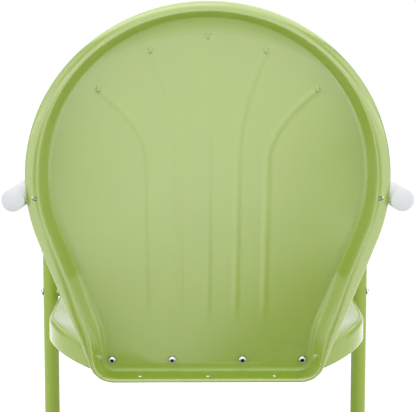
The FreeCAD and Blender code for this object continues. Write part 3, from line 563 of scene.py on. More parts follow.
def flute_lift(back, u, v):
    """Height of flutes and pips over the plain panel."""
    lift = 0.0
    for flute in FLUTES:
        low, bend, pip, top = flute
        fade = ramp((v - FLUTE_LOW) / FLUTE_FADE) * ramp((top + back.pip_radius - v) / (2 * back.pip_radius))
        away = abs(abs(u) - flute_line(flute, v))
        slope = 2 * (pip - low) * max(v - bend, 0.0) / (top - bend) ** 2
        away /= math.hypot(1, slope)
        if away < back.flute_half_width and fade > 0:
            turn = math.pi * away / (2 * back.flute_half_width)
            lift = max(lift, fade * back.flute_height * math.cos(turn) ** 2)
        from_pip = math.hypot(abs(u) - pip, v - top)
        if from_pip < back.pip_radius:
            turn = math.pi * from_pip / (2 * back.pip_radius)
            lift = max(lift, back.pip_height * math.cos(turn) ** PIP_POWER)
    return lift


def near_flute(back, centre):
    """Says whether a place needs the finer grid of a flute."""
    if centre.y < FLUTE_LOW or centre.y > back.length:
        return False
    margin = back.flute_half_width * FLUTE_MARGIN
    near = [flute for flute in FLUTES if abs(abs(centre.x) - flute_line(flute, centre.y)) < margin]
    return any(centre.y < top + margin for _, _, _, top in near)


def near_pip(back, centre):
    """Says whether a place needs the finest grid, that of a pip."""
    reach = 2 * back.pip_radius
    return any(math.hypot(abs(centre.x) - pip, centre.y - top) < reach for _, _, pip, top in FLUTES)


ROUND_STEPS = 8
WALL_STEPS = 4
EDGE_STEPS = 5
FACE_STEPS = 8
ROLL_STEPS = 12
ROLL_SWEEP = math.radians(165)
FOOT_RISE = (0.0, 0.085)
SIDE_RISE = (0.085, 0.17)
CROWN_RISE = (0.3, 0.56)
LIP_FACE = 0.0002
LOW_ROUND = 0.012
LOW_WALL = 0.0165
LOW_EDGE = 0.006
LOW_FACE = 0.012


def bend_on(points, slopes, length, steps):
    """Carries a section on by a length whose slope runs evenly from one angle to another."""
    first, last = slopes
    for k in range(steps):
        slope = first + (last - first) * (k + 0.5) / steps
        reach, depth = points[-1]
        points.append((reach + length / steps * math.cos(slope), depth + length / steps * math.sin(slope)))


def rim_section(sheet, slope, rounding, wall, edge, face, fall, roll):
    """(inset, depth) points from the panel up the wall, over the rim's crowned face and round its edge."""
    points = [(0, sheet)]
    bend_on(points, (0, slope), rounding * slope, ROUND_STEPS)
    bend_on(points, (slope, slope), wall, WALL_STEPS)
    bend_on(points, (slope, 0), edge * slope, EDGE_STEPS)
    bend_on(points, (0, -fall), face, FACE_STEPS)
    bend_on(points, (-fall, -fall - ROLL_SWEEP), roll * ROLL_SWEEP, ROLL_STEPS)
    widest = max(reach for reach, depth in points)
    return [(widest - reach, depth) for reach, depth in points]


def rim_steps(back):
    """Steps of the rim, as insets and depths, at the foot, the lower sides, the sides and the crown."""
    lip = back.roll_radius
    height = back.flange_depth - back.sheet - back.root_round
    foot = rim_section(back.sheet, math.pi / 2, back.root_round, height, lip, LIP_FACE, 0, lip)
    slant = back.sheet / math.sin(math.atan(back.flange_depth / back.flange_spread))
    shift = slant + back.root_round - foot[0][0]
    foot = [(inset + shift, depth) for inset, depth in foot]

    def rim(rounding, wall, edge, face, fall):
        return rim_section(back.sheet, back.rim_slope, rounding, wall, edge, face, fall, back.bead)

    low = rim(LOW_ROUND, LOW_WALL, LOW_EDGE, LOW_FACE, back.rim_fall)
    side = rim(back.rim_round, back.rim_wall, back.rim_edge, back.rim_width, back.rim_fall)
    crown = rim(back.rim_round, back.rim_wall, back.rim_edge, back.crown_width, back.crown_fall)
    return list(zip(foot, low, side, crown))


def rim_ring(back, foot_step, low_step, side_step, crown_step):
    """One step of the rim: its outline, and its depth at a place on that outline."""
    foot = foot_runs(back, *foot_step)
    low = side_runs(back, low_step[0])
    side = side_runs(back, side_step[0])
    crown = side_runs(back, crown_step[0])

    def shares(spot):
        risen = rise(spot.y, FOOT_RISE)
        high = rise(spot.y, SIDE_RISE)
        top = rise(spot.y, CROWN_RISE)
        return 1 - risen, risen * (1 - high), high * (1 - top), top

    def mixed(*runs):
        def place(share):
            spots = [run(share) for run in runs]
            weights = shares(spots[2])
            return sum((weight * spot for weight, spot in zip(weights, spots)), Vector((0, 0)))

        return place

    def depth(around):
        weights = shares(follow(side, around))
        steps = (foot_step, low_step, side_step, crown_step)
        return sum(weight * step[1] for weight, step in zip(weights, steps))

    return tuple(mixed(*runs) for runs in zip(foot, low, side, crown)), depth


def back_matrix(back):
    """From the slope of the back to the chair."""
    lean = back.recline
    rows = (
        (-1, 0, 0, 0),
        (0, math.sin(lean), math.cos(lean), back.foot_y),
        (0, math.cos(lean), -math.sin(lean), back.foot_z),
        (0, 0, 0, 1),
    )
    return Matrix(rows)


def punch(piece, spot, turn, radius, depth):
    """Cuts a round hole."""
    bpy.ops.object.select_all(action="DESELECT")
    bpy.ops.mesh.primitive_cylinder_add(
        vertices=HOLE_SIDES, radius=radius, depth=depth, location=spot, rotation=turn
    )
    tool = start_piece("punch")
    apply_modifier(piece, "BOOLEAN", operation="DIFFERENCE", object=tool, solver="FAST")
    bpy.data.objects.remove(tool)


def paint_shade(piece, shaded):
    """Stores, at each vertex, how strongly shade is painted into the finish's colour."""
    values = [shaded(vertex) for vertex in piece.data.vertices]
    piece.data.attributes.new("painted_shade", "FLOAT", "POINT").data.foreach_set("value", values)


def rim_inset(back, u, v):
    """How far a place lies inside the outer edge of the rim."""
    up = v - (back.length - back.rim_radius)
    straight_side = up * math.cos(back.taper) < -abs(u) * math.sin(back.taper)
    reach = abs(u) * math.cos(back.taper) - up * math.sin(back.taper) if straight_side else math.hypot(u, up)
    return back.rim_reach - reach


# Painted shade of the back: a dark band inside the rim and a dark foot, painted into the colour to stand in
# for shade and dark reflection
BAND_SHADE_LEVEL = 0.4
LOW_SHADE_LEVEL = 0.6
TOP_SHADE_LEVEL = 0.4
BELOW_SHADE_LEVEL = 0.35
BAND_LOW = (0.14, 0.39)
BAND_TOP = (0.44, 0.53)
BAND_END = (0.157, 0.165)
BAND_START = 0.0205
CROWN_SHIFT = 0.0075
BAND_EDGE = 0.002
BAND_WIDTH = 0.008
BAND_FADE = 0.007
LOW_FADE = 0.011
TOP_FADE = 0.028
FOOT_SHADE_LEVEL = 0.8
FOOT_CORNER = (0.06, 0.13)
FOOT_STRIP = 0.006
CORNER_STRIP = 0.016
FOOT_FADE = 0.008
CORNER_FADE = 0.018
WALL_SHADE_LEVEL = 0.7
WALL_REACH = 0.004
LIP_DEPTH = 0.021
PANEL_DEPTH = 0.006
FACES_UP = 0.3
FACES_REAR = 0.2


def painted_band_shade(back, u, v):
    """Painted shade and dark reflection along the inner corner of the rim, strongest and widest low on the
    sides.
    """
    low = 1 - rise(v, BAND_LOW)
    top = rise(v, BAND_TOP)
    kept = BELOW_SHADE_LEVEL + (1 - BELOW_SHADE_LEVEL) * rise(v, BAND_END)
    shaded = kept * (BAND_SHADE_LEVEL + LOW_SHADE_LEVEL * low + TOP_SHADE_LEVEL * top)
    inside = rim_inset(back, u, v) - BAND_START + CROWN_SHIFT * rise(v, CROWN_RISE)
    fade = BAND_FADE + LOW_FADE * low + TOP_FADE * top
    return shaded * ramp(inside / BAND_EDGE) * (1 - ramp((inside - BAND_WIDTH) / fade))


def painted_foot_shade(u, v):
    """Painted shade along the foot of the panel, highest in its two corners."""
    corner = rise(abs(u), FOOT_CORNER)
    strip = FOOT_STRIP + CORNER_STRIP * corner
    return FOOT_SHADE_LEVEL * (1 - ramp((v - strip) / (FOOT_FADE + CORNER_FADE * corner)))


def painted_back_shade(back, vertex):
    """Painted shade and dark reflection on the foot's wall, along the foot of the panel and inside the rim.
    """
    u, v, w = vertex.co
    if v < WALL_REACH and vertex.normal.y > FACES_UP:
        return WALL_SHADE_LEVEL if w < LIP_DEPTH else 0.0
    if vertex.normal.z < FACES_REAR:
        return 0.0
    return max(painted_band_shade(back, u, v), painted_foot_shade(u, v) if w < PANEL_DEPTH else 0.0)


# The panel's grid has two corners in the lower corner arcs and two on the crown
FOOT_CORNERS = (-0.5, 1.5)
CROWN_RUN = 3
CROWN_CORNER = math.radians(48)


def press_back(back):
    """The back as one sheet: a grid over the panel, then the rim and its rolled edge drawn out of it."""
    steps = rim_steps(back)
    bpy.ops.object.select_all(action="DESELECT")
    bpy.ops.mesh.primitive_grid_add(x_subdivisions=back.columns, y_subdivisions=back.rows, size=2)
    shell = start_piece("pressed_back")
    panel_edge, _ = rim_ring(back, *steps[0])
    crown_span = math.pi + 2 * back.taper
    high_right = CROWN_RUN + (CROWN_CORNER + back.taper) / crown_span
    high_left = CROWN_RUN + (math.pi - CROWN_CORNER + back.taper) / crown_span
    fill_outline(shell, panel_edge, (*FOOT_CORNERS, high_right, high_left))
    for test, cuts in ((near_flute, 1), (near_pip, 2)):
        select_faces(shell, lambda centre: test(back, centre))
        bpy.ops.object.mode_set(mode="EDIT")
        bpy.ops.mesh.subdivide(number_cuts=cuts)
        bpy.ops.object.mode_set(mode="OBJECT")
    for vertex in shell.data.vertices:
        u, v, _ = vertex.co
        vertex.co.z = back_dish(back, u, v) + back.sheet + flute_lift(back, u, v)
    select_open_edge(shell)
    for step in steps[1:]:
        runs, depth = rim_ring(back, *step)

        def place(around):
            u, v = follow(runs, around)
            return u, v, back_dish(back, u, v) + depth(around)

        extrude_edge(shell, place)
    apply_modifier(shell, "SOLIDIFY", thickness=back.sheet, offset=-1.0)
    for u in DRAINS:
        punch(shell, (u, 0, DRAIN_DEPTH), (math.pi / 2, 0, 0), DRAIN_RADIUS, DRAIN_CUT)
    for side in (1, -1):
        punch(shell, (side * PORT.x, PORT.y, PORT.z), (0, 0, 0), PORT_RADIUS, PORT_CUT)
    # Paints shade and dark reflection into the back's colour, inside the rim, on the foot's wall and along
    # the foot
    paint_shade(shell, lambda vertex: painted_back_shade(back, vertex))
    shell.data.attributes.remove(shell.data.attributes["around"])
    shell.data.transform(back_matrix(back))
    smooth(shell, SHELL_CREASE)
    return shell


# Bolts along the foot of the back, in the back's own slope
BOLTS = {"back_bolt_1": -0.1395, "back_bolt_2": -0.0515, "back_bolt_3": 0.0515, "back_bolt_4": 0.1395}
BOLT_RISE = 0.0193
HEAD_SIDES = 40
HEAD_ROUND = 0.75
HEAD_STEPS = 6
SKIRT_SHARE = 0.3
SOCKET_SIDES = 6
SOCKET_RADIUS = 0.0024
SOCKET_MARGIN = 1.05


def turn_bolt(bolt, back):
    """A domed head with a six-sided socket, and its shank, with shade painted into the socket and onto the
    head's skirt.
    """
    bpy.ops.object.select_all(action="DESELECT")
    middle = back.sheet + bolt.head_height / 2
    bpy.ops.mesh.primitive_cylinder_add(
        vertices=HEAD_SIDES, radius=bolt.head_radius, depth=bolt.head_height, location=(0, 0, middle)
    )
    bpy.ops.object.transform_apply(location=True)
    piece = start_piece("bolt")
    select_faces(piece, lambda centre: centre.z > middle and centre.xy.length < NEAR_AXIS)
    bpy.ops.object.mode_set(mode="EDIT")
    bpy.ops.mesh.bevel(offset=HEAD_ROUND * bolt.head_height, segments=HEAD_STEPS, affect="EDGES")
    bpy.ops.object.mode_set(mode="OBJECT")
    select_faces(piece, lambda centre: centre.z < back.sheet + TOUCH)
    bpy.ops.object.mode_set(mode="EDIT")
    bpy.ops.mesh.inset(thickness=bolt.head_radius - bolt.shank_radius)
    bpy.ops.mesh.extrude_region_move(TRANSFORM_OT_translate={"value": (0, 0, -bolt.shank_length)})
    bpy.ops.object.mode_set(mode="OBJECT")
    bpy.ops.object.select_all(action="DESELECT")
    top = back.sheet + bolt.head_height
    bpy.ops.mesh.primitive_cylinder_add(
        vertices=SOCKET_SIDES, radius=SOCKET_RADIUS, depth=bolt.head_height, location=(0, 0, top)
    )
    key = start_piece("key")
    apply_modifier(piece, "BOOLEAN", operation="DIFFERENCE", object=key, solver="EXACT")
    bpy.data.objects.remove(key)
    # Painted shade: the socket and the head's skirt take the dark socket colour, standing in for the shade
    # there
    skirt = back.sheet + SKIRT_SHARE * bolt.head_height

    def shaded(vertex):
        in_socket = vertex.co.xy.length < SOCKET_RADIUS * SOCKET_MARGIN and vertex.co.z > back.sheet
        return 1.0 if in_socket or vertex.co.z < skirt else 0.0

    paint_shade(piece, shaded)
    smooth(piece, CREASE)
    return piece


# Spacers between the arms and the rim
SPACER_SIDES = 32
SPACER_ROUND = 0.0008
SPACER_STEPS = 3


def turn_spacer(side, spacer):
    """A short collar across the gap between arm and rim."""
    bpy.ops.object.select_all(action="DESELECT")
    bpy.ops.mesh.primitive_cylinder_add(
        vertices=SPACER_SIDES,
        radius=spacer.radius,
        depth=spacer.length,
        location=(side * spacer.station, spacer.depth, spacer.height),
        rotation=(0, math.pi / 2, 0),
    )
    bpy.ops.object.transform_apply(location=True, rotation=True)
    piece = start_piece("collar_left" if side > 0 else "collar_right")
    axis = Vector((spacer.depth, spacer.height))
    select_faces(piece, lambda centre: (centre.yz - axis).length < NEAR_AXIS)
    bpy.ops.object.mode_set(mode="EDIT")
    bpy.ops.mesh.bevel(offset=SPACER_ROUND, segments=SPACER_STEPS, affect="EDGES")
    bpy.ops.object.mode_set(mode="OBJECT")
    smooth(piece, SHELL_CREASE)
    return piece


# Seat pan: x across, y from the uprights to the rear, z up
UPRIGHT_Y = -0.195
FLAT_BOTTOM = 4
ROUND_BOTTOM = 2
CORNER_BOTTOM = 1.5
REAR_RUN = (0.17, 0.29)
CORNER_RUN = (0.135, 0.195)
SEAT_COLUMNS = 110
SEAT_ROWS = 100
SEAT_CORNERS = (-0.5, 1.5, 3.5, 5.5)
SEAT_FIT = 0.00015
TAB_LOW = -0.012
TAB_CORNER = 0.014


def seat_height(seat, back, x, y, share, power):
    """Height of a face that takes a share of the seat's dish."""
    foot = back.foot_y - UPRIGHT_Y
    along = (y + seat.front) / (foot + seat.front)
    crest = seat.crest_front + (seat.crest_rear - seat.crest_front) * along
    dish = seat.dish_front + (seat.dish_rear - seat.dish_front) * along
    over = max(1 - (y + seat.front) / seat.waterfall_length, 0.0)
    across = abs(x / seat.half_width) ** power
    return crest - share * dish * (1 - across) - seat.waterfall * over**2


def seat_top(seat, back, x, y):
    """Height of the top face, whose rear corners stay high beside the tab."""
    in_corner = rise(y, REAR_RUN) * rise(abs(x), CORNER_RUN)
    return seat_height(seat, back, x, y, 1, FLAT_BOTTOM + (CORNER_BOTTOM - FLAT_BOTTOM) * in_corner)


def seat_hem(seat, back, x, y):
    """Height of the hem round the seat."""
    return seat_height(seat, back, x, y, seat.hem_share, ROUND_BOTTOM) - seat.apron


def seat_runs(seat, inset):
    """Outline of the seat, from the bowed front round by the right, moved inwards by an inset."""
    half = seat.half_width - inset
    bow = seat.front_bow - inset
    front = seat.front_corner - inset
    rear = seat.rear_corner - inset
    bow_y = seat.front_bow - seat.front
    lean = math.acos((half - front) / (bow - front))
    front_y = bow_y - (bow - front) * math.sin(lean)
    rear_y = seat.rear - inset - rear
    bowed = arc(0, bow_y, bow, lean - math.pi, -lean)
    front_right = arc(half - front, front_y, front, -lean, 0)
    rear_right = arc(half - rear, rear_y, rear, 0, math.pi / 2)
    rear_left = arc(rear - half, rear_y, rear, math.pi / 2, math.pi)
    front_left = arc(front - half, front_y, front, -math.pi, lean - math.pi)
    return (
        bowed,
        front_right,
        straight(front_right(1), rear_right(0)),
        rear_right,
        straight(rear_right(1), rear_left(0)),
        rear_left,
        straight(rear_left(1), front_left(0)),
        front_left,
    )


APRON_STEPS = 4
HEM_RADIUS = 0.0018
HEM_STEPS = 6


def seat_profile(seat):
    """(inset, share of the apron, drop) steps over the crest, down the apron and round its hem."""
    steps = []
    for k in range(1, ROUND_STEPS + 1):
        turn = math.pi / 2 * k / ROUND_STEPS
        steps.append((seat.edge_round * (1 - math.sin(turn)), 0.0, seat.edge_round * (1 - math.cos(turn))))
    for k in range(1, APRON_STEPS + 1):
        share = k / APRON_STEPS
        steps.append((0.0, share, seat.edge_round * (1 - share) - HEM_RADIUS * share))
    for k in range(1, HEM_STEPS + 1):
        turn = math.pi * k / HEM_STEPS
        steps.append((HEM_RADIUS * (1 - math.cos(turn)), 1.0, HEM_RADIUS * (math.sin(turn) - 1)))
    return steps


def press_seat(seat, back):
    """The seat as one sheet: a dished grid, a crest, an apron and the tab that stands against the back."""
    bpy.ops.object.select_all(action="DESELECT")
    bpy.ops.mesh.primitive_grid_add(x_subdivisions=SEAT_COLUMNS, y_subdivisions=SEAT_ROWS, size=2)
    pan = start_piece("pressed_seat")
    fill_outline(pan, seat_runs(seat, seat.edge_round), SEAT_CORNERS)
    for vertex in pan.data.vertices:
        vertex.co.z = seat_top(seat, back, vertex.co.x, vertex.co.y)
    select_open_edge(pan)
    for inset, share, drop in seat_profile(seat):
        runs = seat_runs(seat, inset)

        def place(around):
            x, y = follow(runs, around)
            height = seat_top(seat, back, x, y) * (1 - share) + seat_hem(seat, back, x, y) * share
            return x, y, height - drop

        extrude_edge(pan, place)
    pan.data.transform(Matrix.Translation((0, UPRIGHT_Y, 0)))
    to_chair = back_matrix(back)
    rearwards = (to_chair.to_3x3() @ Vector((0, 0, 1))).normalized()
    cut_at = to_chair @ Vector((0, 0, -SEAT_FIT))
    only(pan)
    bpy.ops.object.mode_set(mode="EDIT")
    bpy.ops.mesh.select_all(action="SELECT")
    bpy.ops.mesh.bisect(plane_co=cut_at, plane_no=rearwards, clear_outer=True)
    bpy.ops.object.mode_set(mode="OBJECT")
    raise_upstand(pan, seat, to_chair)
    apply_modifier(pan, "SOLIDIFY", thickness=back.sheet, offset=-1.0)
    pan.data.attributes.remove(pan.data.attributes["around"])
    smooth(pan, CREASE)
    return pan


def raise_upstand(pan, seat, to_chair):
    """Draws the tab up out of the middle of the seat's cut rear edge."""
    to_back = to_chair.inverted()
    only(pan)
    bpy.ops.object.mode_set(mode="EDIT")
    bpy.ops.mesh.select_mode(type="EDGE")
    bpy.ops.mesh.select_all(action="DESELECT")
    bpy.ops.object.mode_set(mode="OBJECT")
    vertices = pan.data.vertices
    for edge in pan.data.edges:
        ends = [to_back @ vertices[index].co for index in edge.vertices]
        on_cut = all(abs(end.z + SEAT_FIT) < TOUCH and abs(end.x) <= seat.upstand_half for end in ends)
        edge.select = on_cut and all(end.y > TAB_LOW for end in ends)
    bpy.ops.object.mode_set(mode="EDIT")
    bpy.ops.mesh.extrude_region_move(TRANSFORM_OT_translate={"value": (0, 0, 0)})
    bpy.ops.object.mode_set(mode="OBJECT")
    for vertex in vertices:
        if vertex.select:
            spot = to_back @ vertex.co
            corner = max(abs(spot.x) - (seat.upstand_half - TAB_CORNER), 0.0)
            spot.y = seat.upstand_top - TAB_CORNER + math.sqrt(max(TAB_CORNER**2 - corner**2, 0.0))
            vertex.co = to_chair @ spot


# Finishes
RIPPLE_SCALE = 420
RIPPLE_DETAIL = 1.5
RIPPLE_DEPTH = 0.0006
DRIFT_SCALE = 7
DRIFT_DETAIL = 2
COLOR_DRIFT = (0.965, 1.035)
GLOSS_DRIFT = (-0.03, 0.03)
# Extra roughness where shade is painted
SHADE_DULLING = 0.4


def calculate(tree, operation, *values):
    """A math node over numbers and other nodes' outputs."""
    node = tree.nodes.new("ShaderNodeMath")
    node.operation = operation
    for socket, value in zip(node.inputs, values):
        if isinstance(value, bpy.types.NodeSocket):
            tree.links.new(value, socket)
        else:
            socket.default_value = value
    return node.outputs["Value"]


def new_group(name, outputs, inputs):
    """An empty shader group with named sockets."""
    group = bpy.data.node_groups.new(name, "ShaderNodeTree")
    for label, kind, default in inputs:
        socket = group.interface.new_socket(name=label, in_out="INPUT", socket_type=kind)
        socket.default_value = default
    for label, kind in outputs:
        group.interface.new_socket(name=label, in_out="OUTPUT", socket_type=kind)
    return group


def orange_peel_group():
    """Fine ripple and a slow drift of colour and gloss, with painted shade where a mask says: a darker
    colour, duller gloss and no clear coat.
    """
    group = new_group(
        "Powder coat ripple",
        (
            ("Color", "NodeSocketColor"),
            ("Roughness", "NodeSocketFloat"),
            ("Coat", "NodeSocketFloat"),
            ("Normal", "NodeSocketVector"),
        ),
        (
            ("Color", "NodeSocketColor", (0.5, 0.5, 0.5, 1)),
            ("Painted shade", "NodeSocketColor", (0.5, 0.5, 0.5, 1)),
            ("Coat", "NodeSocketFloat", 0.0),
            ("Roughness", "NodeSocketFloat", 0.3),
            ("Ripple", "NodeSocketFloat", 0.02),
        ),
    )
    nodes = group.nodes
    links = group.links
    inputs = nodes.new("NodeGroupInput")
    outputs = nodes.new("NodeGroupOutput")
    place = nodes.new("ShaderNodeTexCoord")

    def noise(scale, detail):
        node = nodes.new("ShaderNodeTexNoise")
        node.inputs["Scale"].default_value = scale
        node.inputs["Detail"].default_value = detail
        links.new(place.outputs["Object"], node.inputs["Vector"])
        return node.outputs["Fac"]

    def drift(source, span):
        node = nodes.new("ShaderNodeMapRange")
        node.inputs["To Min"].default_value = span[0]
        node.inputs["To Max"].default_value = span[1]
        links.new(source, node.inputs["Value"])
        return node.outputs["Result"]

    bump = nodes.new("ShaderNodeBump")
    bump.inputs["Distance"].default_value = RIPPLE_DEPTH
    links.new(inputs.outputs["Ripple"], bump.inputs["Strength"])
    links.new(noise(RIPPLE_SCALE, RIPPLE_DETAIL), bump.inputs["Height"])
    slow = noise(DRIFT_SCALE, DRIFT_DETAIL)
    tint = nodes.new("ShaderNodeVectorMath")
    tint.operation = "SCALE"
    links.new(inputs.outputs["Color"], tint.inputs[0])
    links.new(drift(slow, COLOR_DRIFT), tint.inputs["Scale"])
    # Painted shade: the mask darkens the colour towards a shade colour, dulls the gloss and takes off the
    # clear coat
    mask = nodes.new("ShaderNodeAttribute")
    mask.attribute_name = "painted_shade"
    painted_shade = mask.outputs["Fac"]
    shaded = nodes.new("ShaderNodeMix")
    shaded.data_type = "RGBA"
    links.new(painted_shade, shaded.inputs["Factor"])
    links.new(tint.outputs["Vector"], shaded.inputs["A"])
    links.new(inputs.outputs["Painted shade"], shaded.inputs["B"])
    rough = calculate(group, "ADD", inputs.outputs["Roughness"], drift(slow, GLOSS_DRIFT))
    dull = calculate(group, "MULTIPLY_ADD", painted_shade, SHADE_DULLING, rough)
    coat = calculate(group, "MULTIPLY", calculate(group, "SUBTRACT", 1.0, painted_shade), inputs.outputs["Coat"])
    links.new(shaded.outputs["Result"], outputs.inputs["Color"])
    links.new(dull, outputs.inputs["Roughness"])
    links.new(coat, outputs.inputs["Coat"])
    links.new(bump.outputs["Normal"], outputs.inputs["Normal"])
    return group


def coated(name, group, color, painted_shade, roughness, ripple, masked_coat=None, **constants):
    """A material of the ripple group over a Principled shader; where shade is painted, a masked clear coat
    is lost.
    """
    material = bpy.data.materials.new(name)
    material.use_nodes = True
    nodes = material.node_tree.nodes
    links = material.node_tree.links
    shader = nodes["Principled BSDF"]
    coat = nodes.new("ShaderNodeGroup")
    coat.node_tree = group
    coat.inputs["Color"].default_value = (*color, 1)
    coat.inputs["Painted shade"].default_value = (*painted_shade, 1)
    coat.inputs["Roughness"].default_value = roughness
    coat.inputs["Ripple"].default_value = ripple
    links.new(coat.outputs["Color"], shader.inputs["Base Color"])
    links.new(coat.outputs["Roughness"], shader.inputs["Roughness"])
    if masked_coat is not None:
        coat.inputs["Coat"].default_value = masked_coat
        links.new(coat.outputs["Coat"], shader.inputs["Coat Weight"])
    links.new(coat.outputs["Normal"], shader.inputs["Normal"])
    for label, value in constants.items():
        shader.inputs[label.replace("_", " ")].default_value = value
    return material


def finishes():
    """The finishes by the record's slot names, and the seat's and tubes' own greens, made once."""
    if "Green powder coat" not in bpy.data.materials:
        finish = bpy.context.scene.patio_chair_finish
        group = orange_peel_group()
        shade = finish.socket
        green = (group, finish.green, finish.corner)
        white = (group, finish.white, shade)
        gloss = {"Coat_Roughness": 0.08, "Coat_IOR": 1.6, "Specular_IOR_Level": 1.0, "IOR": 1.6}
        satin = {"Coat_Weight": 0.9, "Coat_Roughness": 0.1, "Specular_IOR_Level": 0.7}
        coated("Green powder coat", *green, roughness=0.24, ripple=0.03, masked_coat=1.0, **gloss)
        coated("Green seat coat", *green, roughness=0.27, ripple=0.03, **satin)
        coated("Green tube coat", *green, roughness=0.36, ripple=0.03, Coat_Weight=0.2, Coat_Roughness=0.2)
        coated("White powder coat", *white, roughness=0.36, ripple=0.03, Coat_Weight=0.1, Coat_Roughness=0.1)
        coated("White plastic", *white, roughness=0.3, ripple=0.012)
        coated("Bright plating", group, finish.plating, shade, roughness=0.13, ripple=0.01, Metallic=1.0)
        coated("Zinc plating", group, finish.zinc, shade, roughness=0.34, ripple=0.05, Metallic=1.0)
        coated("Glide plastic", group, finish.glide, shade, roughness=0.55, ripple=0.12)
    names = {
        "green_paint": "Green powder coat",
        "green_seat": "Green seat coat",
        "green_tube": "Green tube coat",
        "white_paint": "White powder coat",
        "white_plastic": "White plastic",
        "chrome": "Bright plating",
        "zinc_steel": "Zinc plating",
        "dark_plastic": "Glide plastic",
    }
    return {slot: bpy.data.materials[name] for slot, name in names.items()}


# Operators
class PATIO_OT_frame_finish(bpy.types.Operator):
    """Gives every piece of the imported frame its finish"""

    bl_idname = "patio_chair.frame_finish"
    bl_label = "Finish the frame"

    def execute(self, context):
        looks = finishes()
        for part in frame["record"]["subparts"]:
            dress(frame["nodes"][part["node"]], looks[part["material_slot"]])
        for name in ("left_leg_tube", "right_leg_tube", "rear_floor_crossbar"):
            dress(frame["nodes"][name], looks["green_tube"])
        return {"FINISHED"}


class PATIO_OT_back(bpy.types.Operator):
    """Presses the back shell"""

    bl_idname = "patio_chair.back"
    bl_label = "Back shell"

    def execute(self, context):
        shell = press_back(context.scene.patio_chair_back)
        dress(shell, finishes()["green_paint"])
        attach(shell, "root")
        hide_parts("back_shell")
        return {"FINISHED"}


class PATIO_OT_bolts(bpy.types.Operator):
    """Turns the bolts along the foot of the back"""

    bl_idname = "patio_chair.bolts"
    bl_label = "Back bolts"

    def execute(self, context):
        back = context.scene.patio_chair_back
        pattern = turn_bolt(context.scene.patio_chair_bolt, back)
        for node, x in BOLTS.items():
            only(pattern)
            bpy.ops.object.duplicate()
            bolt = context.object
            bolt.name = f"domed_{node}"
            bolt.data.transform(back_matrix(back) @ Matrix.Translation((-x, BOLT_RISE, 0)))
            dress(bolt, finishes()["chrome"])
            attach(bolt, "root")
            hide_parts(node)
        bpy.data.objects.remove(pattern)
        return {"FINISHED"}


class PATIO_OT_spacers(bpy.types.Operator):
    """Turns the spacers between arms and back"""

    bl_idname = "patio_chair.spacers"
    bl_label = "Arm spacers"

    def execute(self, context):
        for name, side in SIDES:
            spacer = turn_spacer(side, context.scene.patio_chair_spacer)
            dress(spacer, finishes()["green_paint"])
            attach(spacer, "root")
            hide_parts(f"{name}_arm_spacer")
        return {"FINISHED"}


class PATIO_OT_seat(bpy.types.Operator):
    """Presses the seat pan"""

    bl_idname = "patio_chair.seat"
    bl_label = "Seat pan"

    def execute(self, context):
        pan = press_seat(context.scene.patio_chair_seat, context.scene.patio_chair_back)
        dress(pan, finishes()["green_seat"])
        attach(pan, "root")
        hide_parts("seat_pan")
        return {"FINISHED"}


# Studio: the floor's glow in glosses is a fan behind the chair and bright sides, dim far ahead
FLOOR_SIZE = 40
FLOOR_GREY = 0.86
FLOOR_ROUGHNESS = 0.9
FLOOR_WHITE = 1.25
WHITE_SHARE = 0.8
SWEEP_MIDDLE = 0.07
SWEEP_FOOT = 0.3
SWEEP_NEAREST = 0.05
SWEEP_EDGE = 0.15
SWEEP_REST = 0.15
SWEEP_DEPTH = (0.3, 1.0)
SWEEP_NEAR_SHARE = 0.42
SIDE_DEPTH = (0.92, 1.22)
SIDE_SHIFT = (0.05, 0.7)
SIDE_SPAN = (0.28, 0.5)
SIDE_REST = 0.05
SIDE_SHARE = 0.85
FAR_SPAN = (2.2, 3.6)
FAR_LOSS = 0.6
AHEAD_SPAN = (0.0, 0.5)


def by_ray(tree, ray, shown, other):
    """Shows another shader to one kind of ray."""
    rays = tree.nodes.new("ShaderNodeLightPath")
    pick = tree.nodes.new("ShaderNodeMixShader")
    tree.links.new(rays.outputs[ray], pick.inputs["Fac"])
    tree.links.new(shown, pick.inputs[1])
    tree.links.new(other, pick.inputs[2])
    return pick.outputs["Shader"]


def studio_world(stage):
    """A soft surround that the camera sees as plain white and glosses see as a dim room."""
    world = bpy.data.worlds.new("Studio")
    world.use_nodes = True
    bpy.context.scene.world = world
    tree = world.node_tree
    light = tree.nodes["Background"]
    light.inputs["Color"].default_value = (1, 1, 1, 1)
    light.inputs["Strength"].default_value = stage.world
    shown = light.outputs["Background"]
    for ray, strength in (("Is Glossy Ray", stage.room), ("Is Camera Ray", 1.0)):
        other = tree.nodes.new("ShaderNodeBackground")
        other.inputs["Color"].default_value = (1, 1, 1, 1)
        other.inputs["Strength"].default_value = strength
        shown = by_ray(tree, ray, shown, other.outputs["Background"])
    tree.links.new(shown, tree.nodes["World Output"].inputs["Surface"])


def smooth_step(tree, source, span, values):
    """A smooth step over a span, from one value to another."""
    step = tree.nodes.new("ShaderNodeMapRange")
    step.interpolation_type = "SMOOTHSTEP"
    for label, value in zip(("From Min", "From Max", "To Min", "To Max"), (*span, *values)):
        step.inputs[label].default_value = value
    tree.links.new(source, step.inputs["Value"])
    return step.outputs["Result"]


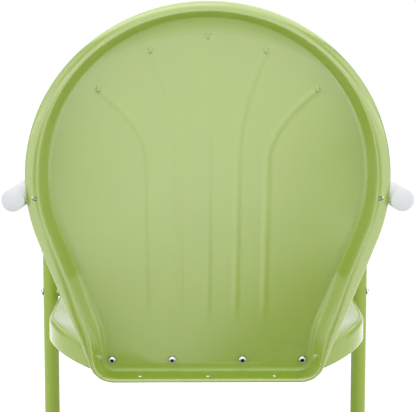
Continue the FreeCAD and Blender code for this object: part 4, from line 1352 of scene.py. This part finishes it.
def floor_glow(tree, stage):
    """How bright the floor is in a gloss: a sweep behind the chair, bright sides, dim far ahead."""
    place = tree.nodes.new("ShaderNodeTexCoord")
    axes = tree.nodes.new("ShaderNodeSeparateXYZ")
    tree.links.new(place.outputs["Object"], axes.inputs["Vector"])
    x = axes.outputs["X"]
    y = axes.outputs["Y"]
    full = stage.sweep_light
    across = calculate(tree, "ABSOLUTE", calculate(tree, "SUBTRACT", x, SWEEP_MIDDLE))
    behind = calculate(tree, "MAXIMUM", calculate(tree, "SUBTRACT", y, SWEEP_FOOT), SWEEP_NEAREST)
    spread = calculate(tree, "DIVIDE", across, behind)
    fan = smooth_step(tree, spread, (SWEEP_EDGE, stage.sweep), (1, SWEEP_REST))
    # Dimmer near the chair's foot: a painted shadow of the chair on the floor, seen in glosses
    depth = smooth_step(tree, y, SWEEP_DEPTH, (SWEEP_NEAR_SHARE * full, full))
    beside = calculate(tree, "SUBTRACT", across, smooth_step(tree, y, SIDE_DEPTH, SIDE_SHIFT))
    sides = smooth_step(tree, beside, SIDE_SPAN, (SIDE_REST, SIDE_SHARE * full))
    glow = calculate(tree, "ADD", calculate(tree, "MULTIPLY", fan, depth), sides)
    aside = smooth_step(tree, across, FAR_SPAN, (0, FAR_LOSS))
    ahead = smooth_step(tree, y, AHEAD_SPAN, (1, 0))
    kept = calculate(tree, "SUBTRACT", 1.0, calculate(tree, "MULTIPLY", aside, ahead))
    return calculate(tree, "MULTIPLY", glow, kept)


def studio_floor(stage):
    """A wide pale floor that keeps the chair's shadow, with a glow of its own in glosses."""
    bpy.ops.object.select_all(action="DESELECT")
    bpy.ops.mesh.primitive_plane_add(size=FLOOR_SIZE)
    floor = start_piece("studio_floor")
    material = bpy.data.materials.new("Studio floor")
    material.use_nodes = True
    tree = material.node_tree
    shader = tree.nodes["Principled BSDF"]
    shader.inputs["Base Color"].default_value = (FLOOR_GREY, FLOOR_GREY, FLOOR_GREY, 1)
    shader.inputs["Roughness"].default_value = FLOOR_ROUGHNESS
    shader.inputs["Specular IOR Level"].default_value = 0.0
    plain = shader.outputs["BSDF"]
    mirrored = tree.nodes.new("ShaderNodeEmission")
    tree.links.new(floor_glow(tree, stage), mirrored.inputs["Strength"])
    bright = tree.nodes.new("ShaderNodeEmission")
    bright.inputs["Strength"].default_value = FLOOR_WHITE
    mostly_bright = tree.nodes.new("ShaderNodeMixShader")
    mostly_bright.inputs["Fac"].default_value = WHITE_SHARE
    tree.links.new(plain, mostly_bright.inputs[1])
    tree.links.new(bright.outputs["Emission"], mostly_bright.inputs[2])
    shown = by_ray(tree, "Is Glossy Ray", plain, mirrored.outputs["Emission"])
    shown = by_ray(tree, "Is Camera Ray", shown, mostly_bright.outputs["Shader"])
    tree.links.new(shown, tree.nodes["Material Output"].inputs["Surface"])
    dress(floor, material)


CARD_SIZE = 5
CARDS = (
    # Name, place, tilt, and the property that holds its brightness
    ("ceiling_card", (0, 0.5, 2.8), 0, "ceiling"),
    ("front_card", (0, -3, 1.5), math.pi / 2, "front"),
    ("rear_card", (0, 4.5, 2.7), math.pi / 2, "rear"),
)
LAMPS = (
    # Name, place, what it points at, size, and power in watts
    ("overhead_box", (0.3, 0.6, 3.0), (0, 0, 0.5), 2.4, 22),
    ("left_box", (2.6, 1.2, 1.2), (0, 0.1, 0.5), 1.8, 7),
    ("right_box", (-2.6, 1.2, 1.2), (0, 0.1, 0.5), 1.8, 9),
)
SENSOR_WIDTH = 36


def gloss_card(name, spot, tilt, strength):
    """A bright card that only glosses see."""
    bpy.ops.object.select_all(action="DESELECT")
    bpy.ops.mesh.primitive_plane_add(size=CARD_SIZE)
    card = start_piece(name)
    card.data.transform(Matrix.Translation(spot) @ Matrix.Rotation(tilt, 4, "X"))
    material = bpy.data.materials.new(name)
    material.use_nodes = True
    tree = material.node_tree
    tree.nodes.remove(tree.nodes["Principled BSDF"])
    clear = tree.nodes.new("ShaderNodeBsdfTransparent")
    bright = tree.nodes.new("ShaderNodeEmission")
    bright.inputs["Strength"].default_value = strength
    shown = by_ray(tree, "Is Glossy Ray", clear.outputs["BSDF"], bright.outputs["Emission"])
    tree.links.new(shown, tree.nodes["Material Output"].inputs["Surface"])
    dress(card, material)


def soft_box(name, spot, aim, size, power):
    """A square area lamp that points at a place."""
    bpy.ops.object.light_add(type="AREA", location=spot)
    lamp = bpy.context.object
    lamp.name = name
    lamp.data.size = size
    lamp.data.energy = power
    lamp.rotation_euler = (Vector(aim) - Vector(spot)).to_track_quat("-Z", "Y").to_euler()


class PATIO_OT_stage(bpy.types.Operator):
    """Sets the studio and the camera"""

    bl_idname = "patio_chair.stage"
    bl_label = "Stage"

    def execute(self, context):
        stage = context.scene.patio_chair_stage
        context.scene.view_settings.view_transform = "Standard"
        studio_world(stage)
        studio_floor(stage)
        for name, spot, tilt, brightness in CARDS:
            gloss_card(name, spot, tilt, getattr(stage, brightness))
        for lamp in LAMPS:
            soft_box(*lamp)
        bpy.ops.object.camera_add(location=stage.camera)
        camera = context.object
        camera.data.lens = stage.lens
        camera.data.sensor_width = SENSOR_WIDTH
        sight = Vector(stage.aim) - Vector(stage.camera)
        camera.rotation_euler = sight.to_track_quat("-Z", "Y").to_euler()
        context.scene.camera = camera
        return {"FINISHED"}


class PATIO_PT_panel(bpy.types.Panel):
    """Lists the steps that model the chair"""

    bl_idname = "PATIO_PT_panel"
    bl_label = "Patio Chair"
    bl_space_type = "VIEW_3D"
    bl_region_type = "UI"
    bl_category = "Patio Chair"

    def draw(self, context):
        for step in STEPS:
            self.layout.operator(step.bl_idname)


STEPS = (
    PATIO_OT_frame_finish,
    PATIO_OT_back,
    PATIO_OT_bolts,
    PATIO_OT_spacers,
    PATIO_OT_seat,
    PATIO_OT_stage,
)
GROUPS = {
    "patio_chair_back": PATIO_PG_back,
    "patio_chair_bolt": PATIO_PG_bolt,
    "patio_chair_spacer": PATIO_PG_spacer,
    "patio_chair_seat": PATIO_PG_seat,
    "patio_chair_finish": PATIO_PG_finish,
    "patio_chair_stage": PATIO_PG_stage,
}


def register():
    for group in GROUPS.values():
        bpy.utils.register_class(group)
    for name, group in GROUPS.items():
        setattr(bpy.types.Scene, name, PointerProperty(type=group))
    for item in (*STEPS, PATIO_PT_panel):
        bpy.utils.register_class(item)


def unregister():
    for item in reversed((*STEPS, PATIO_PT_panel)):
        bpy.utils.unregister_class(item)
    for name, group in GROUPS.items():
        delattr(bpy.types.Scene, name)
        bpy.utils.unregister_class(group)


def main():
    register()
    bpy.ops.patio_chair.frame_finish()
    bpy.ops.patio_chair.back()
    bpy.ops.patio_chair.bolts()
    bpy.ops.patio_chair.spacers()
    bpy.ops.patio_chair.seat()
    bpy.ops.patio_chair.stage()


if __name__ == "__main__":
    main()
